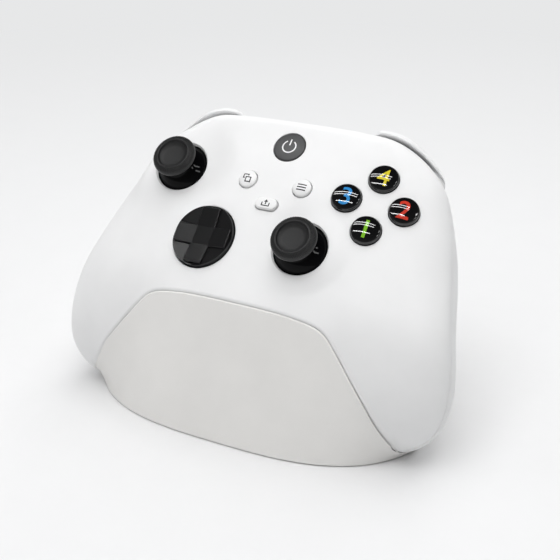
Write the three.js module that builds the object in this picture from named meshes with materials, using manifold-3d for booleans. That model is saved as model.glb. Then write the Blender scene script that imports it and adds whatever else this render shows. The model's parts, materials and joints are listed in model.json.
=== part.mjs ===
// A game controller resting on its charging stand, millimetres, +Z up, the front towards -Y.
// The controller is built in its own face frame (u to the right, v up the face, w out of the face)
// and the whole group is leaned back onto the stand by TILT.
import * as THREE from "three";
import Module from "manifold-3d";

const wasm = await Module();
wasm.setup();

// ---- driving dimensions -------------------------------------------------------------------------
const TILT = THREE.MathUtils.degToRad(42);
const FACE_HEIGHT = 73.9; // centre of the face above the floor
// Right half of the controller's outline, from the top centre round the grip to the chin centre.
const HALF_OUTLINE = [
  [0, 42.4],
  [13.7, 42.5],
  [25.4, 42.3],
  [38.5, 41.0],
  [49.7, 35.7],
  [58.0, 27.0],
  [63.7, 12.9],
  [68.1, -2.8],
  [72.0, -18.5],
  [75.3, -32.2],
  [76.3, -43.4],
  [74.4, -52.8],
  [68.6, -58.9],
  [61.6, -61.2],
  [54.9, -58.5],
  [46.3, -50.3],
  [38.2, -41.7],
  [32.2, -36.8],
  [21.5, -35.4],
  [10.7, -35.1],
  [0, -35.1],
];
const OUTLINE_STEPS = 5; // points per outline span
const COLUMNS = 30; // stations across the controller
const ROWS = 10; // stations up the controller
const WALL = 2.0; // shell thickness
const PART_GAP = 0.3; // between fixed neighbours
const REAR_DEPTH = 20.6; // rear bulge behind the parting line
const GRIP_DEPTH = 12.6; // the same over the grips
const CHIN_ROUND = 4.4;
const REAR_ROUND = 14.6;
const GRIP_BULGE = 1.9; // how far the grip covers swell outside the outline
const PARTING = -7.8; // parting line below the face centre

const STICK_AT = { left: [-41.3, 15.4], right: [17.7, -9.3] };
const STICK_PIVOT = -8.3; // below the face
const STICK_DOME_R = 12.0;
const STICK_RELIEF_R = 12.4;
const STICK_HOLE_R = 9.9;
const STICK_BEVEL_R = 10.4;
const STICK_RIM_R = 11.4; // flat ring of the shell round a stick
const STICK_CAP_R = 8.3;
const STICK_TOP = 9.4;
const STICK_COLLAR = 4.2; // where the dome's collar meets the cap
const DPAD_AT = [-19.5, -12.0];
const DPAD_R = 11.9;
const DPAD_HOLE_R = 12.3;
const DPAD_SIDES = 28;
const FACE_BUTTONS_AT = [37.9, 13.0];
const FACE_BUTTON_ARM = 10.35;
const FACE_BUTTON_R = 5.35;
const HOME_AT = [0, 28.9];
const HOME_R = 5.95;
const SMALL_BUTTON_AT = [10.8, 13.1];
const SMALL_BUTTON_R = 3.45;
const SHARE_AT = [0, 4.4];
const SHARE_HALF = 2.1; // half the straight length of the share button
const SHARE_R = 2.2;
const BUTTON_GAP = 0.25;

const BRIDGE_OUT = 1.6; // how far the bridge stands outside the outline
const BRIDGE_RISE = -1.2; // its top above the parting line
const BUMPER_OUT = [3.6, 2.6, 2.2]; // how far a bumper stands out: inner end, middle, outer end
const BUMPER_RISE = [2.6, 0.4]; // its top above the parting line: inner part, outer end
const BRIDGE_HALF = 26.0;
const BUMPER_TO = 54.0;
const BAND_FLOOR = -17.8;
const SHOULDER_AT = [39.5, 40.6];
const SHOULDER_TURN = THREE.MathUtils.degToRad(-24);
const TRIGGER_HALF = 10.4;
const TRIGGER_PIVOT = [-2.6, -21.6];

const BOARD_TOP = -16.2;
const BOARD_THICK = 1.6;
const CELL = { half: 24, v0: -19, v1: 15, w0: -26.5, w1: -18.4 };
const HATCH = { half: 27, v0: -22, v1: 18 };
const CONTACT_AT = [8, -4];
const REAR_FLAT = PARTING - PART_GAP - REAR_DEPTH;

const BASE_HALF = 67.3; // stand's half width at the floor
const BASE_DEPTH = 39.6; // stand's half depth at the floor
const BASE_Y = 2.0;
const SEAM_INSET = 2.0; // how far up the chin's round edge the front cover reaches
const COVER_PROUD = 1.2;
const COVER_THICK = 2.8;
const COVER_BELLY = 1.5; // how far the cover's ends bulge halfway up
const COVER_GAP = 0.35;
const COVER_FOOT = 0.8;
const DOCK_GAP = 1.5; // between the cradle and the controller
const LIP_GAP = 0.7; // between the front cover's top edge and the controller
const STAND_WALL = 2.6;
const PAD_THICK = 1.2;
const PLATE_Z = [1.5, 3.5];
const BODY_FLOOR = 1.5;
const SCREW_AT = [
  [-36, -14],
  [36, -14],
  [-36, 20],
  [36, 20],
];
const LIFT_TOP = 170;

// ---- small maths --------------------------------------------------------------------------------
const clamp = (x) => Math.min(Math.max(x, 0), 1);
const ease = (x) => clamp(x) ** 2 * (3 - 2 * clamp(x));
const round = (s) => Math.sqrt(1 - (1 - clamp(s)) ** 2); // quarter circle, 0 at the edge
const soft = (x, k) => 0.5 * (x + Math.sqrt(x * x + k * k));
const lerp = (a, b, t) => a + (b - a) * t;

function interpolate(points, x) {
  let i = 1;
  while (i < points.length - 1 && points[i][0] < x) i++;
  const [a, b] = [points[i - 1], points[i]];
  return lerp(a[1], b[1], clamp((x - a[0]) / (b[0] - a[0] || 1)));
}

// Catmull-Rom curve through the half outline, its ends mirrored.
function smoothOutline() {
  const p = HALF_OUTLINE;
  const all = [[-p[1][0], p[1][1]], ...p, [-p.at(-2)[0], p.at(-2)[1]]];
  const out = [];
  for (let i = 1; i < all.length - 2; i++)
    for (let k = 0; k < OUTLINE_STEPS; k++) {
      const t = k / OUTLINE_STEPS;
      const spline = (j) =>
        0.5 *
        (2 * all[i][j] +
          (all[i + 1][j] - all[i - 1][j]) * t +
          (2 * all[i - 1][j] - 5 * all[i][j] + 4 * all[i + 1][j] - all[i + 2][j]) * t * t +
          (3 * all[i][j] - all[i - 1][j] - 3 * all[i + 1][j] + all[i + 2][j]) * t ** 3);
      out.push([spline(0), spline(1)]);
    }
  out.push(p.at(-1));
  return out;
}

function normalAt(line, i) {
  const a = line[Math.max(i - 1, 0)];
  const b = line[Math.min(i + 1, line.length - 1)];
  const long = Math.hypot(b[0] - a[0], b[1] - a[1]) || 1;
  return [-(b[1] - a[1]) / long, (b[0] - a[0]) / long]; // outwards: the outline runs clockwise
}

function offsetLine(line, by) {
  return line.map(([u, v], i) => {
    const [nu, nv] = normalAt(line, i);
    const end = i === 0 || i === line.length - 1;
    return [end ? u : u + nu * by, end ? v + Math.sign(nv) * by : v + nv * by];
  });
}

const OUTLINE = smoothOutline();
const WIDEST = OUTLINE.reduce((best, p, i) => (p[0] > OUTLINE[best][0] ? i : best), 0);
const LOWEST = OUTLINE.reduce((best, p, i) => (p[1] < OUTLINE[best][1] ? i : best), 0);
const HALF_WIDTH = OUTLINE[WIDEST][0];

// The point of a right-hand line nearest to (|u|, v): its distance and the line's normal there.
function nearestOn(line, u, v) {
  let best = { gap: Infinity };
  for (let i = 1; i < line.length; i++) {
    const [a, b] = [line[i - 1], line[i]];
    const [du, dv] = [b[0] - a[0], b[1] - a[1]];
    const t = clamp(((Math.abs(u) - a[0]) * du + (v - a[1]) * dv) / (du * du + dv * dv));
    const gap = Math.hypot(Math.abs(u) - a[0] - du * t, v - a[1] - dv * t);
    const long = Math.hypot(du, dv);
    if (gap < best.gap) best = { gap, normal: [-dv / long, du / long] };
  }
  return best;
}

const distanceTo = (line, u, v) => nearestOn(line, u, v).gap;

// ---- the controller's surfaces, as heights w over the face plane --------------------------------
const outerEdge = OUTLINE.slice(0, LOWEST + 1);
const innerEdge = OUTLINE.slice(LOWEST);
const wing = (u) => ease((Math.abs(u) - 19.5) / 23.5);
const gripShare = (u, v) => ease((Math.abs(u) - 25.5) / 21.5) * ease((-v - 5) / 29);

function faceHeight(u, v) {
  const droop = Math.max(-21.5 - v, 0) ** 2;
  return -0.00195 * u * u - 0.00092 * v * v - 0.0098 * droop * wing(u);
}

function partingHeight(u, v) {
  const side = ease((Math.abs(u) - 29) / 37);
  return PARTING - 8.8 * side - 0.5 * soft(-23.5 - v, 6) * wing(u);
}

function frontHeight(u, v, inset = 0) {
  const low = partingHeight(u, v);
  const sideRound = 5 + 10.7 * ease((Math.abs(u) - 33) / 19.5);
  const side = round((distanceTo(outerEdge, u, v) - inset) / sideRound);
  const chin = round((distanceTo(innerEdge, u, v) - inset) / CHIN_ROUND);
  return low + (faceHeight(u, v) - inset - low) * side * chin;
}

function rearHeight(u, v, inset = 0) {
  const share = gripShare(u, v);
  const depth = lerp(REAR_DEPTH, GRIP_DEPTH, share) - inset;
  const edge = round((distanceTo(OUTLINE, u, v) - inset) / (REAR_ROUND - 2.9 * share));
  return partingHeight(u, v) - PART_GAP - depth * edge;
}

// A rear surface point moved out where the grip covers swell, most halfway down their wall.
function swollen([u, v, w]) {
  const deep = lerp(REAR_DEPTH, GRIP_DEPTH, gripShare(u, v));
  const share = clamp((partingHeight(u, v) - PART_GAP - w) / deep);
  const { gap, normal } = nearestOn(outerEdge, u, v);
  const where = ease((32 - v) / 34) * ease((v + 59) / 22) * ease(1.4 - gap / 10);
  const by = GRIP_BULGE * where * 4 * share * (1 - share);
  return [u + Math.sign(u) * normal[0] * by, v + normal[1] * by, w];
}

const toRow = (u, v, w) => [
  u,
  v * Math.cos(TILT) - w * Math.sin(TILT),
  v * Math.sin(TILT) + w * Math.cos(TILT) + FACE_HEIGHT,
];

// ---- closed meshes from points ------------------------------------------------------------------
class Shape {
  constructor() {
    this.points = [];
    this.faces = [];
    this.seen = new Map();
  }
  point(p) {
    const key = p.map((x) => Math.round(x * 1e4)).join();
    if (!this.seen.has(key)) {
      this.seen.set(key, this.points.length);
      this.points.push(p);
    }
    return this.seen.get(key);
  }
  triangle(a, b, c) {
    const [i, j, k] = [this.point(a), this.point(b), this.point(c)];
    if (i !== j && j !== k && k !== i) this.faces.push([i, j, k]);
  }
  quad(a, b, c, d, flip = false) {
    this.triangle(a, b, flip ? d : c);
    this.triangle(flip ? b : a, c, d);
  }
  // Faces out whichever way the rings ran.
  geometry() {
    let volume = 0;
    for (const [i, j, k] of this.faces) {
      const [a, b, c] = [i, j, k].map((n) => new THREE.Vector3(...this.points[n]));
      volume += a.dot(b.cross(c));
    }
    const order = volume < 0 ? this.faces.map(([i, j, k]) => [i, k, j]) : this.faces;
    const made = new THREE.BufferGeometry();
    made.setAttribute("position", new THREE.Float32BufferAttribute(this.points.flat(), 3));
    made.setIndex(order.flat());
    return made;
  }
}

const centre = (ring) => ring.reduce((s, p) => s.map((x, i) => x + p[i] / ring.length), [0, 0, 0]);

// A closed solid through rings of equal length, each end closed by a fan.
function loft(rings) {
  const shape = new Shape();
  for (let i = 1; i < rings.length; i++)
    rings[i].forEach((p, k) => {
      const n = (k + 1) % rings[i].length;
      shape.quad(rings[i - 1][k], rings[i - 1][n], rings[i][n], p, 2 * i < rings.length);
    });
  for (const [ring, last] of [
    [rings[0], false],
    [rings.at(-1), true],
  ]) {
    const middle = centre(ring);
    ring.forEach((p, k) => {
      const q = ring[(k + 1) % ring.length];
      if (last) shape.triangle(p, q, middle);
      else shape.triangle(q, p, middle);
    });
  }
  return shape.geometry();
}

// A turned solid: the profile is a list of [radius, height] that starts and ends on the axis.
function spin(profile, sides = 18) {
  const shape = new Shape();
  const at = ([r, z], k) => {
    const angle = (2 * Math.PI * (k % sides)) / sides;
    return [r * Math.cos(angle), r * Math.sin(angle), z];
  };
  for (let i = 1; i < profile.length; i++)
    for (let k = 0; k < sides; k++)
      shape.quad(at(profile[i - 1], k), at(profile[i - 1], k + 1), at(profile[i], k + 1), at(profile[i], k));
  return shape.geometry();
}

// A turned ring: the profile closes on itself away from the axis.
const spinRing = (profile, sides = 18) => spin([...profile, profile[0]], sides);

// Layers of one outline, each [height, inset].
const stack = (outline, layers) =>
  loft(layers.map(([z, inset]) => outline(inset).map(([x, y]) => [x, y, z])));

const box = (x0, x1, y0, y1, z0, z1) =>
  new THREE.BoxGeometry(x1 - x0, y1 - y0, z1 - z0).translate((x0 + x1) / 2, (y0 + y1) / 2, (z0 + z1) / 2);

function roundedRect(halfX, halfY, r, perCorner = 4) {
  return (inset) => {
    const points = [];
    const [hx, hy, rr] = [halfX - inset, halfY - inset, Math.max(r - inset, 0.05)];
    for (let q = 0; q < 4; q++)
      for (let k = 0; k <= perCorner; k++) {
        const angle = (Math.PI / 2) * (q + k / perCorner);
        const [sx, sy] = [q === 0 || q === 3 ? 1 : -1, q < 2 ? 1 : -1];
        points.push([sx * (hx - rr) + rr * Math.cos(angle), sy * (hy - rr) + rr * Math.sin(angle)]);
      }
    return points;
  };
}

// ---- booleans -----------------------------------------------------------------------------------
function toSolid(geometry) {
  const shape = new Shape();
  const flat = geometry.index ? geometry.toNonIndexed() : geometry;
  const p = flat.getAttribute("position");
  const corner = (i) => [p.getX(i), p.getY(i), p.getZ(i)];
  for (let i = 0; i < p.count; i += 3) shape.triangle(corner(i), corner(i + 1), corner(i + 2));
  const mesh = new wasm.Mesh({
    numProp: 3,
    vertProperties: new Float32Array(shape.points.flat()),
    triVerts: new Uint32Array(shape.faces.flat()),
  });
  return new wasm.Manifold(mesh);
}

function fromSolid(solid) {
  const mesh = solid.getMesh();
  const made = new THREE.BufferGeometry();
  made.setAttribute("position", new THREE.BufferAttribute(new Float32Array(mesh.vertProperties), 3));
  made.setIndex(new THREE.BufferAttribute(new Uint32Array(mesh.triVerts), 1));
  return made;
}

// The biggest body of a cut that leaves crumbs.
const largest = (geometry) =>
  fromSolid(toSolid(geometry).decompose().reduce((a, b) => (b.volume() > a.volume() ? b : a)));
const cut = (from, ...tools) => fromSolid(tools.reduce((s, t) => s.subtract(toSolid(t)), toSolid(from)));
const join = (...all) => fromSolid(all.map(toSolid).reduce((s, t) => s.add(t)));
const common = (a, b) => fromSolid(toSolid(a).intersect(toSolid(b)));

// ---- placing ------------------------------------------------------------------------------------
// The matrix that stands a control on the face at (u, v), its own +Z out of the face.
function onFace(u, v) {
  const step = 0.5;
  const du = (faceHeight(u + step, v) - faceHeight(u - step, v)) / (2 * step);
  const dv = (faceHeight(u, v + step) - faceHeight(u, v - step)) / (2 * step);
  const out = new THREE.Vector3(-du, -dv, 1).normalize();
  const turn = new THREE.Quaternion().setFromUnitVectors(new THREE.Vector3(0, 0, 1), out);
  return new THREE.Matrix4().compose(
    new THREE.Vector3(u, v, faceHeight(u, v)),
    turn,
    new THREE.Vector3(1, 1, 1),
  );
}

// The same for a thumb stick, which stands square to the board instead of following the face.
const upright = (u, v) => new THREE.Matrix4().makeTranslation(u, v, faceHeight(u, v));

const placed = (geometry, matrix) => geometry.clone().applyMatrix4(matrix);
const shoulder = (side) =>
  new THREE.Matrix4()
    .makeTranslation(side * SHOULDER_AT[0], SHOULDER_AT[1], 0)
    .multiply(new THREE.Matrix4().makeRotationZ(side * SHOULDER_TURN));

// ---- materials ----------------------------------------------------------------------------------
const plastic = (colour, roughness) =>
  new THREE.MeshStandardMaterial({ color: colour, roughness, metalness: 0 });
const metal = (colour, roughness) =>
  new THREE.MeshStandardMaterial({ color: colour, roughness, metalness: 1 });
const WHITE = plastic(0xf2f3f4, 0.5);
const PANEL_WHITE = plastic(0xe0dfdd, 0.55);
const DARK_RUBBER = plastic(0x2c2c2d, 0.8);
const GLOSS_BLACK = plastic(0x0c0c0d, 0.15);
const HOME_GREY = plastic(0x454545, 0.4);
const BLACK_PLASTIC = plastic(0x1a1a1b, 0.5);
const BOARD_GREEN = plastic(0x1f4d33, 0.5);
const STEEL = metal(0xb4b6b8, 0.35);
const GOLD = metal(0xd4af5a, 0.3);

const root = new THREE.Group();
const controller = new THREE.Group();
controller.rotation.x = TILT;
controller.position.z = FACE_HEIGHT;
root.add(controller);

function piece(group, name, geometry, material, matrix) {
  const mesh = new THREE.Mesh(geometry, material);
  mesh.name = name;
  if (matrix) mesh.applyMatrix4(matrix);
  group.add(mesh);
}

// ---- shells -------------------------------------------------------------------------------------
const spread = (n, k) => (1 - Math.cos((Math.PI * k) / n)) / 2;

// Grid of points over the outline drawn in by inset.
function surfaceGrid(height, inset) {
  const line = offsetLine(OUTLINE, -inset);
  const top = line.slice(0, WIDEST + 1);
  const bottom = line.slice(WIDEST).reverse();
  const half = line[WIDEST][0];
  const grid = [];
  for (let i = 0; i <= COLUMNS; i++) {
    const u = half * (2 * spread(COLUMNS, i) - 1);
    const end = i === 0 || i === COLUMNS;
    const hi = end ? line[WIDEST][1] : interpolate(top, Math.abs(u));
    const lo = end ? line[WIDEST][1] : interpolate(bottom, Math.abs(u));
    const column = [];
    for (let j = 0; j <= ROWS; j++) {
      const v = lerp(lo, hi, spread(ROWS, j));
      const rim = end || j === 0 || j === ROWS;
      const at = [u, v, rim ? height(u, v, 1e6) : height(u, v, inset)];
      column.push(height === rearHeight && !rim ? swollen(at) : at);
    }
    grid.push(column);
  }
  return grid;
}

function shell(height) {
  const [outer, inner] = [surfaceGrid(height, 0), surfaceGrid(height, WALL)];
  const shape = new Shape();
  for (let i = 1; i <= COLUMNS; i++) {
    for (let j = 1; j <= ROWS; j++) {
      const flip = 2 * i <= COLUMNS; // diagonals mirror about the middle
      shape.quad(outer[i - 1][j - 1], outer[i][j - 1], outer[i][j], outer[i - 1][j], flip);
      shape.quad(inner[i - 1][j], inner[i][j], inner[i][j - 1], inner[i - 1][j - 1], flip);
    }
    shape.quad(inner[i - 1][0], inner[i][0], outer[i][0], outer[i - 1][0]);
    shape.quad(outer[i - 1][ROWS], outer[i][ROWS], inner[i][ROWS], inner[i - 1][ROWS]);
  }
  return shape.geometry();
}

const shareOutline = (inset) => {
  const points = [];
  for (let k = 0; k < 20; k++) {
    const angle = (2 * Math.PI * (k + 0.5)) / 20;
    const x = (SHARE_R - inset) * Math.cos(angle);
    points.push([x + Math.sign(x) * SHARE_HALF, (SHARE_R - inset) * Math.sin(angle)]);
  }
  return points;
};

const roundHole = (r, sides) => spin([[0, -9], [r, -9], [r, 5], [0, 5]], sides);

// The shell is levelled round a stick: a boss fills its low side, a shallow cone trims its high side.
const stickBoss = () => {
  const [r, wide] = [STICK_RIM_R, STICK_RIM_R + 4];
  return spin([[0, -4.4], [wide - 2, -4.4], [wide, -2.6], [r, 0], [0, 0]]);
};
const stickTrim = () => spin([[0, 0], [STICK_RIM_R, 0], [STICK_RIM_R + 6, 1.5], [STICK_RIM_R + 6, 6], [0, 6]]);

function stickHole() {
  const profile = [[0, -6]];
  for (let z = -6; z < -0.9; z += 1.7)
    profile.push([Math.sqrt(STICK_RELIEF_R ** 2 - (z - STICK_PIVOT) ** 2), z]);
  return spin([...profile, [STICK_HOLE_R, -0.8], [STICK_BEVEL_R, 0.1], [STICK_BEVEL_R, 5], [0, 5]]);
}

const faceButtonPlaces = {
  face_button_top: [FACE_BUTTONS_AT[0], FACE_BUTTONS_AT[1] + FACE_BUTTON_ARM],
  face_button_right: [FACE_BUTTONS_AT[0] + FACE_BUTTON_ARM, FACE_BUTTONS_AT[1]],
  face_button_bottom: [FACE_BUTTONS_AT[0], FACE_BUTTONS_AT[1] - FACE_BUTTON_ARM],
  face_button_left: [FACE_BUTTONS_AT[0] - FACE_BUTTON_ARM, FACE_BUTTONS_AT[1]],
};

function frontShell() {
  const sticks = Object.values(STICK_AT).map((at) => upright(...at));
  const levelled = sticks.reduce(
    (body, at) => cut(join(body, placed(stickBoss(), at)), placed(stickTrim(), at)),
    shell(frontHeight),
  );
  const tools = [
    ...sticks.map((at) => placed(stickHole(), at)),
    placed(roundHole(DPAD_HOLE_R, DPAD_SIDES), onFace(...DPAD_AT)),
    placed(roundHole(HOME_R + BUTTON_GAP), onFace(...HOME_AT)),
    placed(stack(shareOutline, [[-9, -BUTTON_GAP], [5, -BUTTON_GAP]]), onFace(...SHARE_AT)),
  ];
  for (const side of [-1, 1])
    tools.push(
      placed(roundHole(SMALL_BUTTON_R + BUTTON_GAP), onFace(side * SMALL_BUTTON_AT[0], SMALL_BUTTON_AT[1])),
    );
  for (const at of Object.values(faceButtonPlaces))
    tools.push(placed(roundHole(FACE_BUTTON_R + BUTTON_GAP), onFace(...at)));
  return largest(cut(levelled, ...tools));
}

// Everything a trigger sweeps, open to the outside of the shoulder.
const triggerPocket = (side) =>
  placed(box(-TRIGGER_HALF - 0.8, TRIGGER_HALF + 0.8, -6.4, 25, -60, -15), shoulder(side));

const usbSlot = () => box(-4.7, 4.7, 30, 60, -14.9, -11.3);
const pairHole = () => new THREE.CylinderGeometry(1.9, 1.9, 20, 16).translate(16, 48, -12);
const jackHole = () => new THREE.CylinderGeometry(3.4, 3.4, 12, 16).translate(0, -36, -14.5);

function rearShells() {
  const whole = cut(shell(rearHeight), triggerPocket(-1), triggerPocket(1));
  const middle = box(-41.7, 41.7, -80, 80, -80, 20);
  const hatchHole = box(-HATCH.half, HATCH.half, HATCH.v0, HATCH.v1, -60, -20);
  const chassis = cut(common(whole, middle), hatchHole, usbSlot(), pairHole(), jackHole());
  const side = (s) => common(whole, box(s > 0 ? 42 : -90, s > 0 ? 90 : -42, -80, 80, -80, 20));
  const g = PART_GAP;
  const hatch = common(
    shell(rearHeight),
    box(-HATCH.half + g, HATCH.half - g, HATCH.v0 + g, HATCH.v1 - g, -60, -20),
  );
  return { chassis, left: side(-1), right: side(1), hatch };
}

const shells = rearShells();
piece(controller, "front_shell", frontShell(), WHITE);
piece(controller, "rear_chassis", shells.chassis, WHITE);
piece(controller, "left_grip_cover", shells.left, WHITE);
piece(controller, "right_grip_cover", shells.right, WHITE);

// ---- bridge and bumpers: bands that hug the top edge --------------------------------------------
// Section points as [distance outside the outline, w]; gap, out and rise are given at |u|.
function band(from, to, side, { gap, out, rise }) {
  const line = OUTLINE.slice(0, WIDEST + 1);
  const steps = Math.round(Math.abs(to - from) / 3);
  const rings = [];
  for (let k = 0; k <= steps; k++) {
    const u = lerp(from, to, k / steps);
    const v = interpolate(line, Math.abs(u));
    const near = interpolate(line, Math.max(Math.abs(u) - 1, 0));
    const far = interpolate(line, Math.abs(u) + 1);
    const run = 2;
    const long = Math.hypot(run, far - near);
    const [nu, nv] = [(-(far - near) / long) * Math.sign(u || 1), run / long];
    const top = partingHeight(u, v) + rise(Math.abs(u));
    const [inner, outer] = [gap(Math.abs(u)), out(Math.abs(u))];
    const section = [
      [inner, BAND_FLOOR],
      [inner, top],
      [lerp(inner, outer, 0.3), top + 0.3],
      [lerp(inner, outer, 0.7), top],
      [outer, top - 1.5],
      [outer, BAND_FLOOR + 1.5],
      [outer - 0.5, BAND_FLOOR],
    ];
    rings.push(section.map(([d, w]) => [(side || 1) * (u + nu * d), v + nv * d, w]));
  }
  return loft(rings);
}

const bridgeShape = { gap: () => 0.4, out: () => BRIDGE_OUT, rise: () => BRIDGE_RISE };
const bumperShare = (u) => (u - BRIDGE_HALF) / (BUMPER_TO - BRIDGE_HALF);
const bumperShape = {
  gap: (u) => lerp(0.4, 1.2, bumperShare(u)),
  out: (u) => {
    const [near, middle, far] = BUMPER_OUT;
    return lerp(lerp(near, middle, ease(3 * bumperShare(u))), far, ease(bumperShare(u)));
  },
  rise: (u) => lerp(...BUMPER_RISE, ease(2 * bumperShare(u) - 1)),
};
const bridge = band(-BRIDGE_HALF, BRIDGE_HALF, 0, bridgeShape);
piece(controller, "top_bridge", cut(bridge, usbSlot(), pairHole()), WHITE);
for (const [name, side] of [
  ["left_bumper", -1],
  ["right_bumper", 1],
]) {
  const strip = band(BRIDGE_HALF + 0.4, BUMPER_TO, side, bumperShape);
  const arm = placed(box(-9, 9, -4.6, 1.4, -17.4, -16.0), shoulder(side));
  piece(controller, name, join(strip, arm), WHITE);
}

// ---- triggers -----------------------------------------------------------------------------------
const TRIGGER_SECTION = [
  [-1.0, -19.2],
  [2.4, -19.8],
  [4.9, -22.4],
  [6.6, -26.5],
  [7.3, -31.0],
  [6.9, -35.5],
  [5.4, -38.2],
  [3.4, -38.0],
  [0.8, -34.6],
  [-2.0, -30.4],
  [-4.4, -27.0],
  [-5.6, -24.0],
  [-5.6, -21.4],
  [-4.0, -19.4],
];

// The trigger's own +X points away from the middle: it gets slimmer and shorter that way.
function trigger(side) {
  const middle = [1.0, -29];
  const layer = (x, shrink) => {
    const taper = (0.5 + x / (2 * TRIGGER_HALF)) ** 2;
    return TRIGGER_SECTION.map(([y, w]) => {
      const [slim, short] = [y > 0 ? y * (1 - 0.36 * taper) : y, w + 0.2 * taper * Math.max(-24 - w, 0)];
      return [side * x, lerp(slim, middle[0], shrink), lerp(short, middle[1], shrink)];
    });
  };
  const ends = [
    [-TRIGGER_HALF, 0.08],
    [1 - TRIGGER_HALF, 0],
  ];
  const solid = loft([
    ...ends.map(([x, shrink]) => layer(x, shrink)),
    layer(0, 0),
    layer(TRIGGER_HALF / 2, 0),
    ...ends.reverse().map(([x, shrink]) => layer(-x, shrink)),
  ]);
  const bore = new THREE.CylinderGeometry(1.4, 1.4, 40, 16).rotateZ(Math.PI / 2);
  return cut(solid, bore.translate(0, TRIGGER_PIVOT[0], TRIGGER_PIVOT[1]));
}

for (const [name, side] of [
  ["left_trigger", -1],
  ["right_trigger", 1],
]) {
  const pin = new THREE.CylinderGeometry(1.1, 1.1, 2 * TRIGGER_HALF + 1.0, 16).rotateZ(Math.PI / 2);
  pin.translate(0, TRIGGER_PIVOT[0], TRIGGER_PIVOT[1]);
  piece(controller, name, trigger(side), WHITE, shoulder(side));
  piece(controller, name + "_pin", pin, STEEL, shoulder(side));
}

// ---- thumb sticks -------------------------------------------------------------------------------
function stickCap() {
  const [r, top] = [STICK_CAP_R, STICK_TOP];
  const dish = [
    [0, top - 1.5],
    [r * 0.5, top - 1.35],
    [r * 0.67, top - 0.9],
    [r * 0.71, top],
    [r * 0.8, top - 0.1],
    [r * 0.93, top - 0.7],
    [r, top - 1.6],
    [r, top - 2.7],
    [r * 0.88, top - 3.8],
    [5.4, STICK_COLLAR + 0.4],
    [3.5, STICK_COLLAR + 0.3],
    [3.3, STICK_COLLAR - 0.3],
    [3.3, 1.6],
    [1.7, 1.6],
    [1.7, top - 4.1],
    [0, top - 4.1],
  ];
  return spin(dish, 20);
}

function stickDome() {
  const at = (radius, degrees) => [
    radius * Math.sin(THREE.MathUtils.degToRad(degrees)),
    STICK_PIVOT + radius * Math.cos(THREE.MathUtils.degToRad(degrees)),
  ];
  const outer = [72, 62, 52, 42, 31].map((a) => at(STICK_DOME_R, a));
  const inner = [31, 42, 52, 62, 72].map((a) => at(STICK_DOME_R - 1.1, a));
  const collar = [[5.35, 3.2], [5.1, STICK_COLLAR], [3.65, STICK_COLLAR], [3.65, 1.9]];
  return spinRing([...outer, ...collar, ...inner], 20);
}

function stickHousing() {
  const outer = box(-6.2, 6.2, -6.2, 6.2, -12.0, -5.2);
  return cut(outer, box(-5.1, 5.1, -5.1, 5.1, -11.0, 0));
}

function stickYoke() {
  const z = STICK_PIVOT;
  const frame = cut(box(-4.2, 4.2, -2.6, 2.6, z - 1.1, z + 1.1), box(-3.2, 3.2, -1.6, 1.6, -20, 0));
  return frame;
}

const stickLever = () => spin([[0, -10.4], [1.3, -10.4], [1.3, STICK_TOP - 5.1], [0, STICK_TOP - 5.1]], 16);

for (const side of ["left", "right"]) {
  const at = upright(...STICK_AT[side]);
  piece(controller, side + "_stick_cap", stickCap(), DARK_RUBBER, at);
  piece(controller, side + "_stick_dome", stickDome(), GLOSS_BLACK, at);
  piece(controller, side + "_stick_lever", stickLever(), STEEL, at);
  piece(controller, side + "_stick_yoke", stickYoke(), BLACK_PLASTIC, at);
  piece(controller, side + "_stick_housing", stickHousing(), STEEL, at);
}

// ---- direction pad ------------------------------------------------------------------------------
function dpadCap() {
  const r = DPAD_R;
  const flange = [[0, -4.2], [r + 0.8, -4.2], [r + 0.8, -3.6], [r, -3.6]];
  const dish = spin([...flange, [r, 0.9], [r - 0.9, 1.4], [r * 0.6, 0.5], [0, 0.2]], DPAD_SIDES);
  const arm = (x, y) => box(-x, x, -y, y, -1, 1.9);
  const cross = join(arm(3.9, 10.6), arm(10.6, 3.9));
  return join(dish, cross);
}

const dpadRocker = () => spin([[0, -13.6], [2.5, -13.6], [2.5, -7], [4.2, -6.6], [4.2, -4.6], [0, -4.6]]);

piece(controller, "dpad_cap", dpadCap(), GLOSS_BLACK, onFace(...DPAD_AT));
piece(controller, "dpad_rocker", dpadRocker(), BLACK_PLASTIC, onFace(...DPAD_AT));

// ---- buttons ------------------------------------------------------------------------------------
// A round key with a flange that the shell keeps in.
const key = (r, flangeTop, shoulderZ, top) =>
  spin([
    [0, flangeTop - 0.8],
    [r + 0.8, flangeTop - 0.8],
    [r + 0.8, flangeTop],
    [r, flangeTop],
    [r, shoulderZ],
    [r - 0.5, lerp(shoulderZ, top, 0.65)],
    [r * 0.5, top - 0.08],
    [0, top],
  ]);

for (const [name, at] of Object.entries(faceButtonPlaces))
  piece(controller, name, key(FACE_BUTTON_R, -3.9, 0.9, 2.1), GLOSS_BLACK, onFace(...at));
for (const [name, side] of [
  ["view_button", -1],
  ["menu_button", 1],
]) {
  const at = onFace(side * SMALL_BUTTON_AT[0], SMALL_BUTTON_AT[1]);
  piece(controller, name, key(SMALL_BUTTON_R, -2.7, 0.6, 1.3), WHITE, at);
}
piece(controller, "home_button", key(HOME_R, -2.7, 0.1, 0.5), HOME_GREY, onFace(...HOME_AT));
const shareLayers = [[-3.4, -0.6], [-2.7, -0.6], [-2.7, 0], [0.6, 0], [1.0, 0.4], [1.2, 1.2]];
piece(controller, "share_button", stack(shareOutline, shareLayers), WHITE, onFace(...SHARE_AT));
const membrane = spin([[0, -7.7], [16.5, -7.7], [16.5, -6.7], [0, -6.7]], 24);
piece(controller, "button_membrane", membrane, DARK_RUBBER, onFace(...FACE_BUTTONS_AT));

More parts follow.
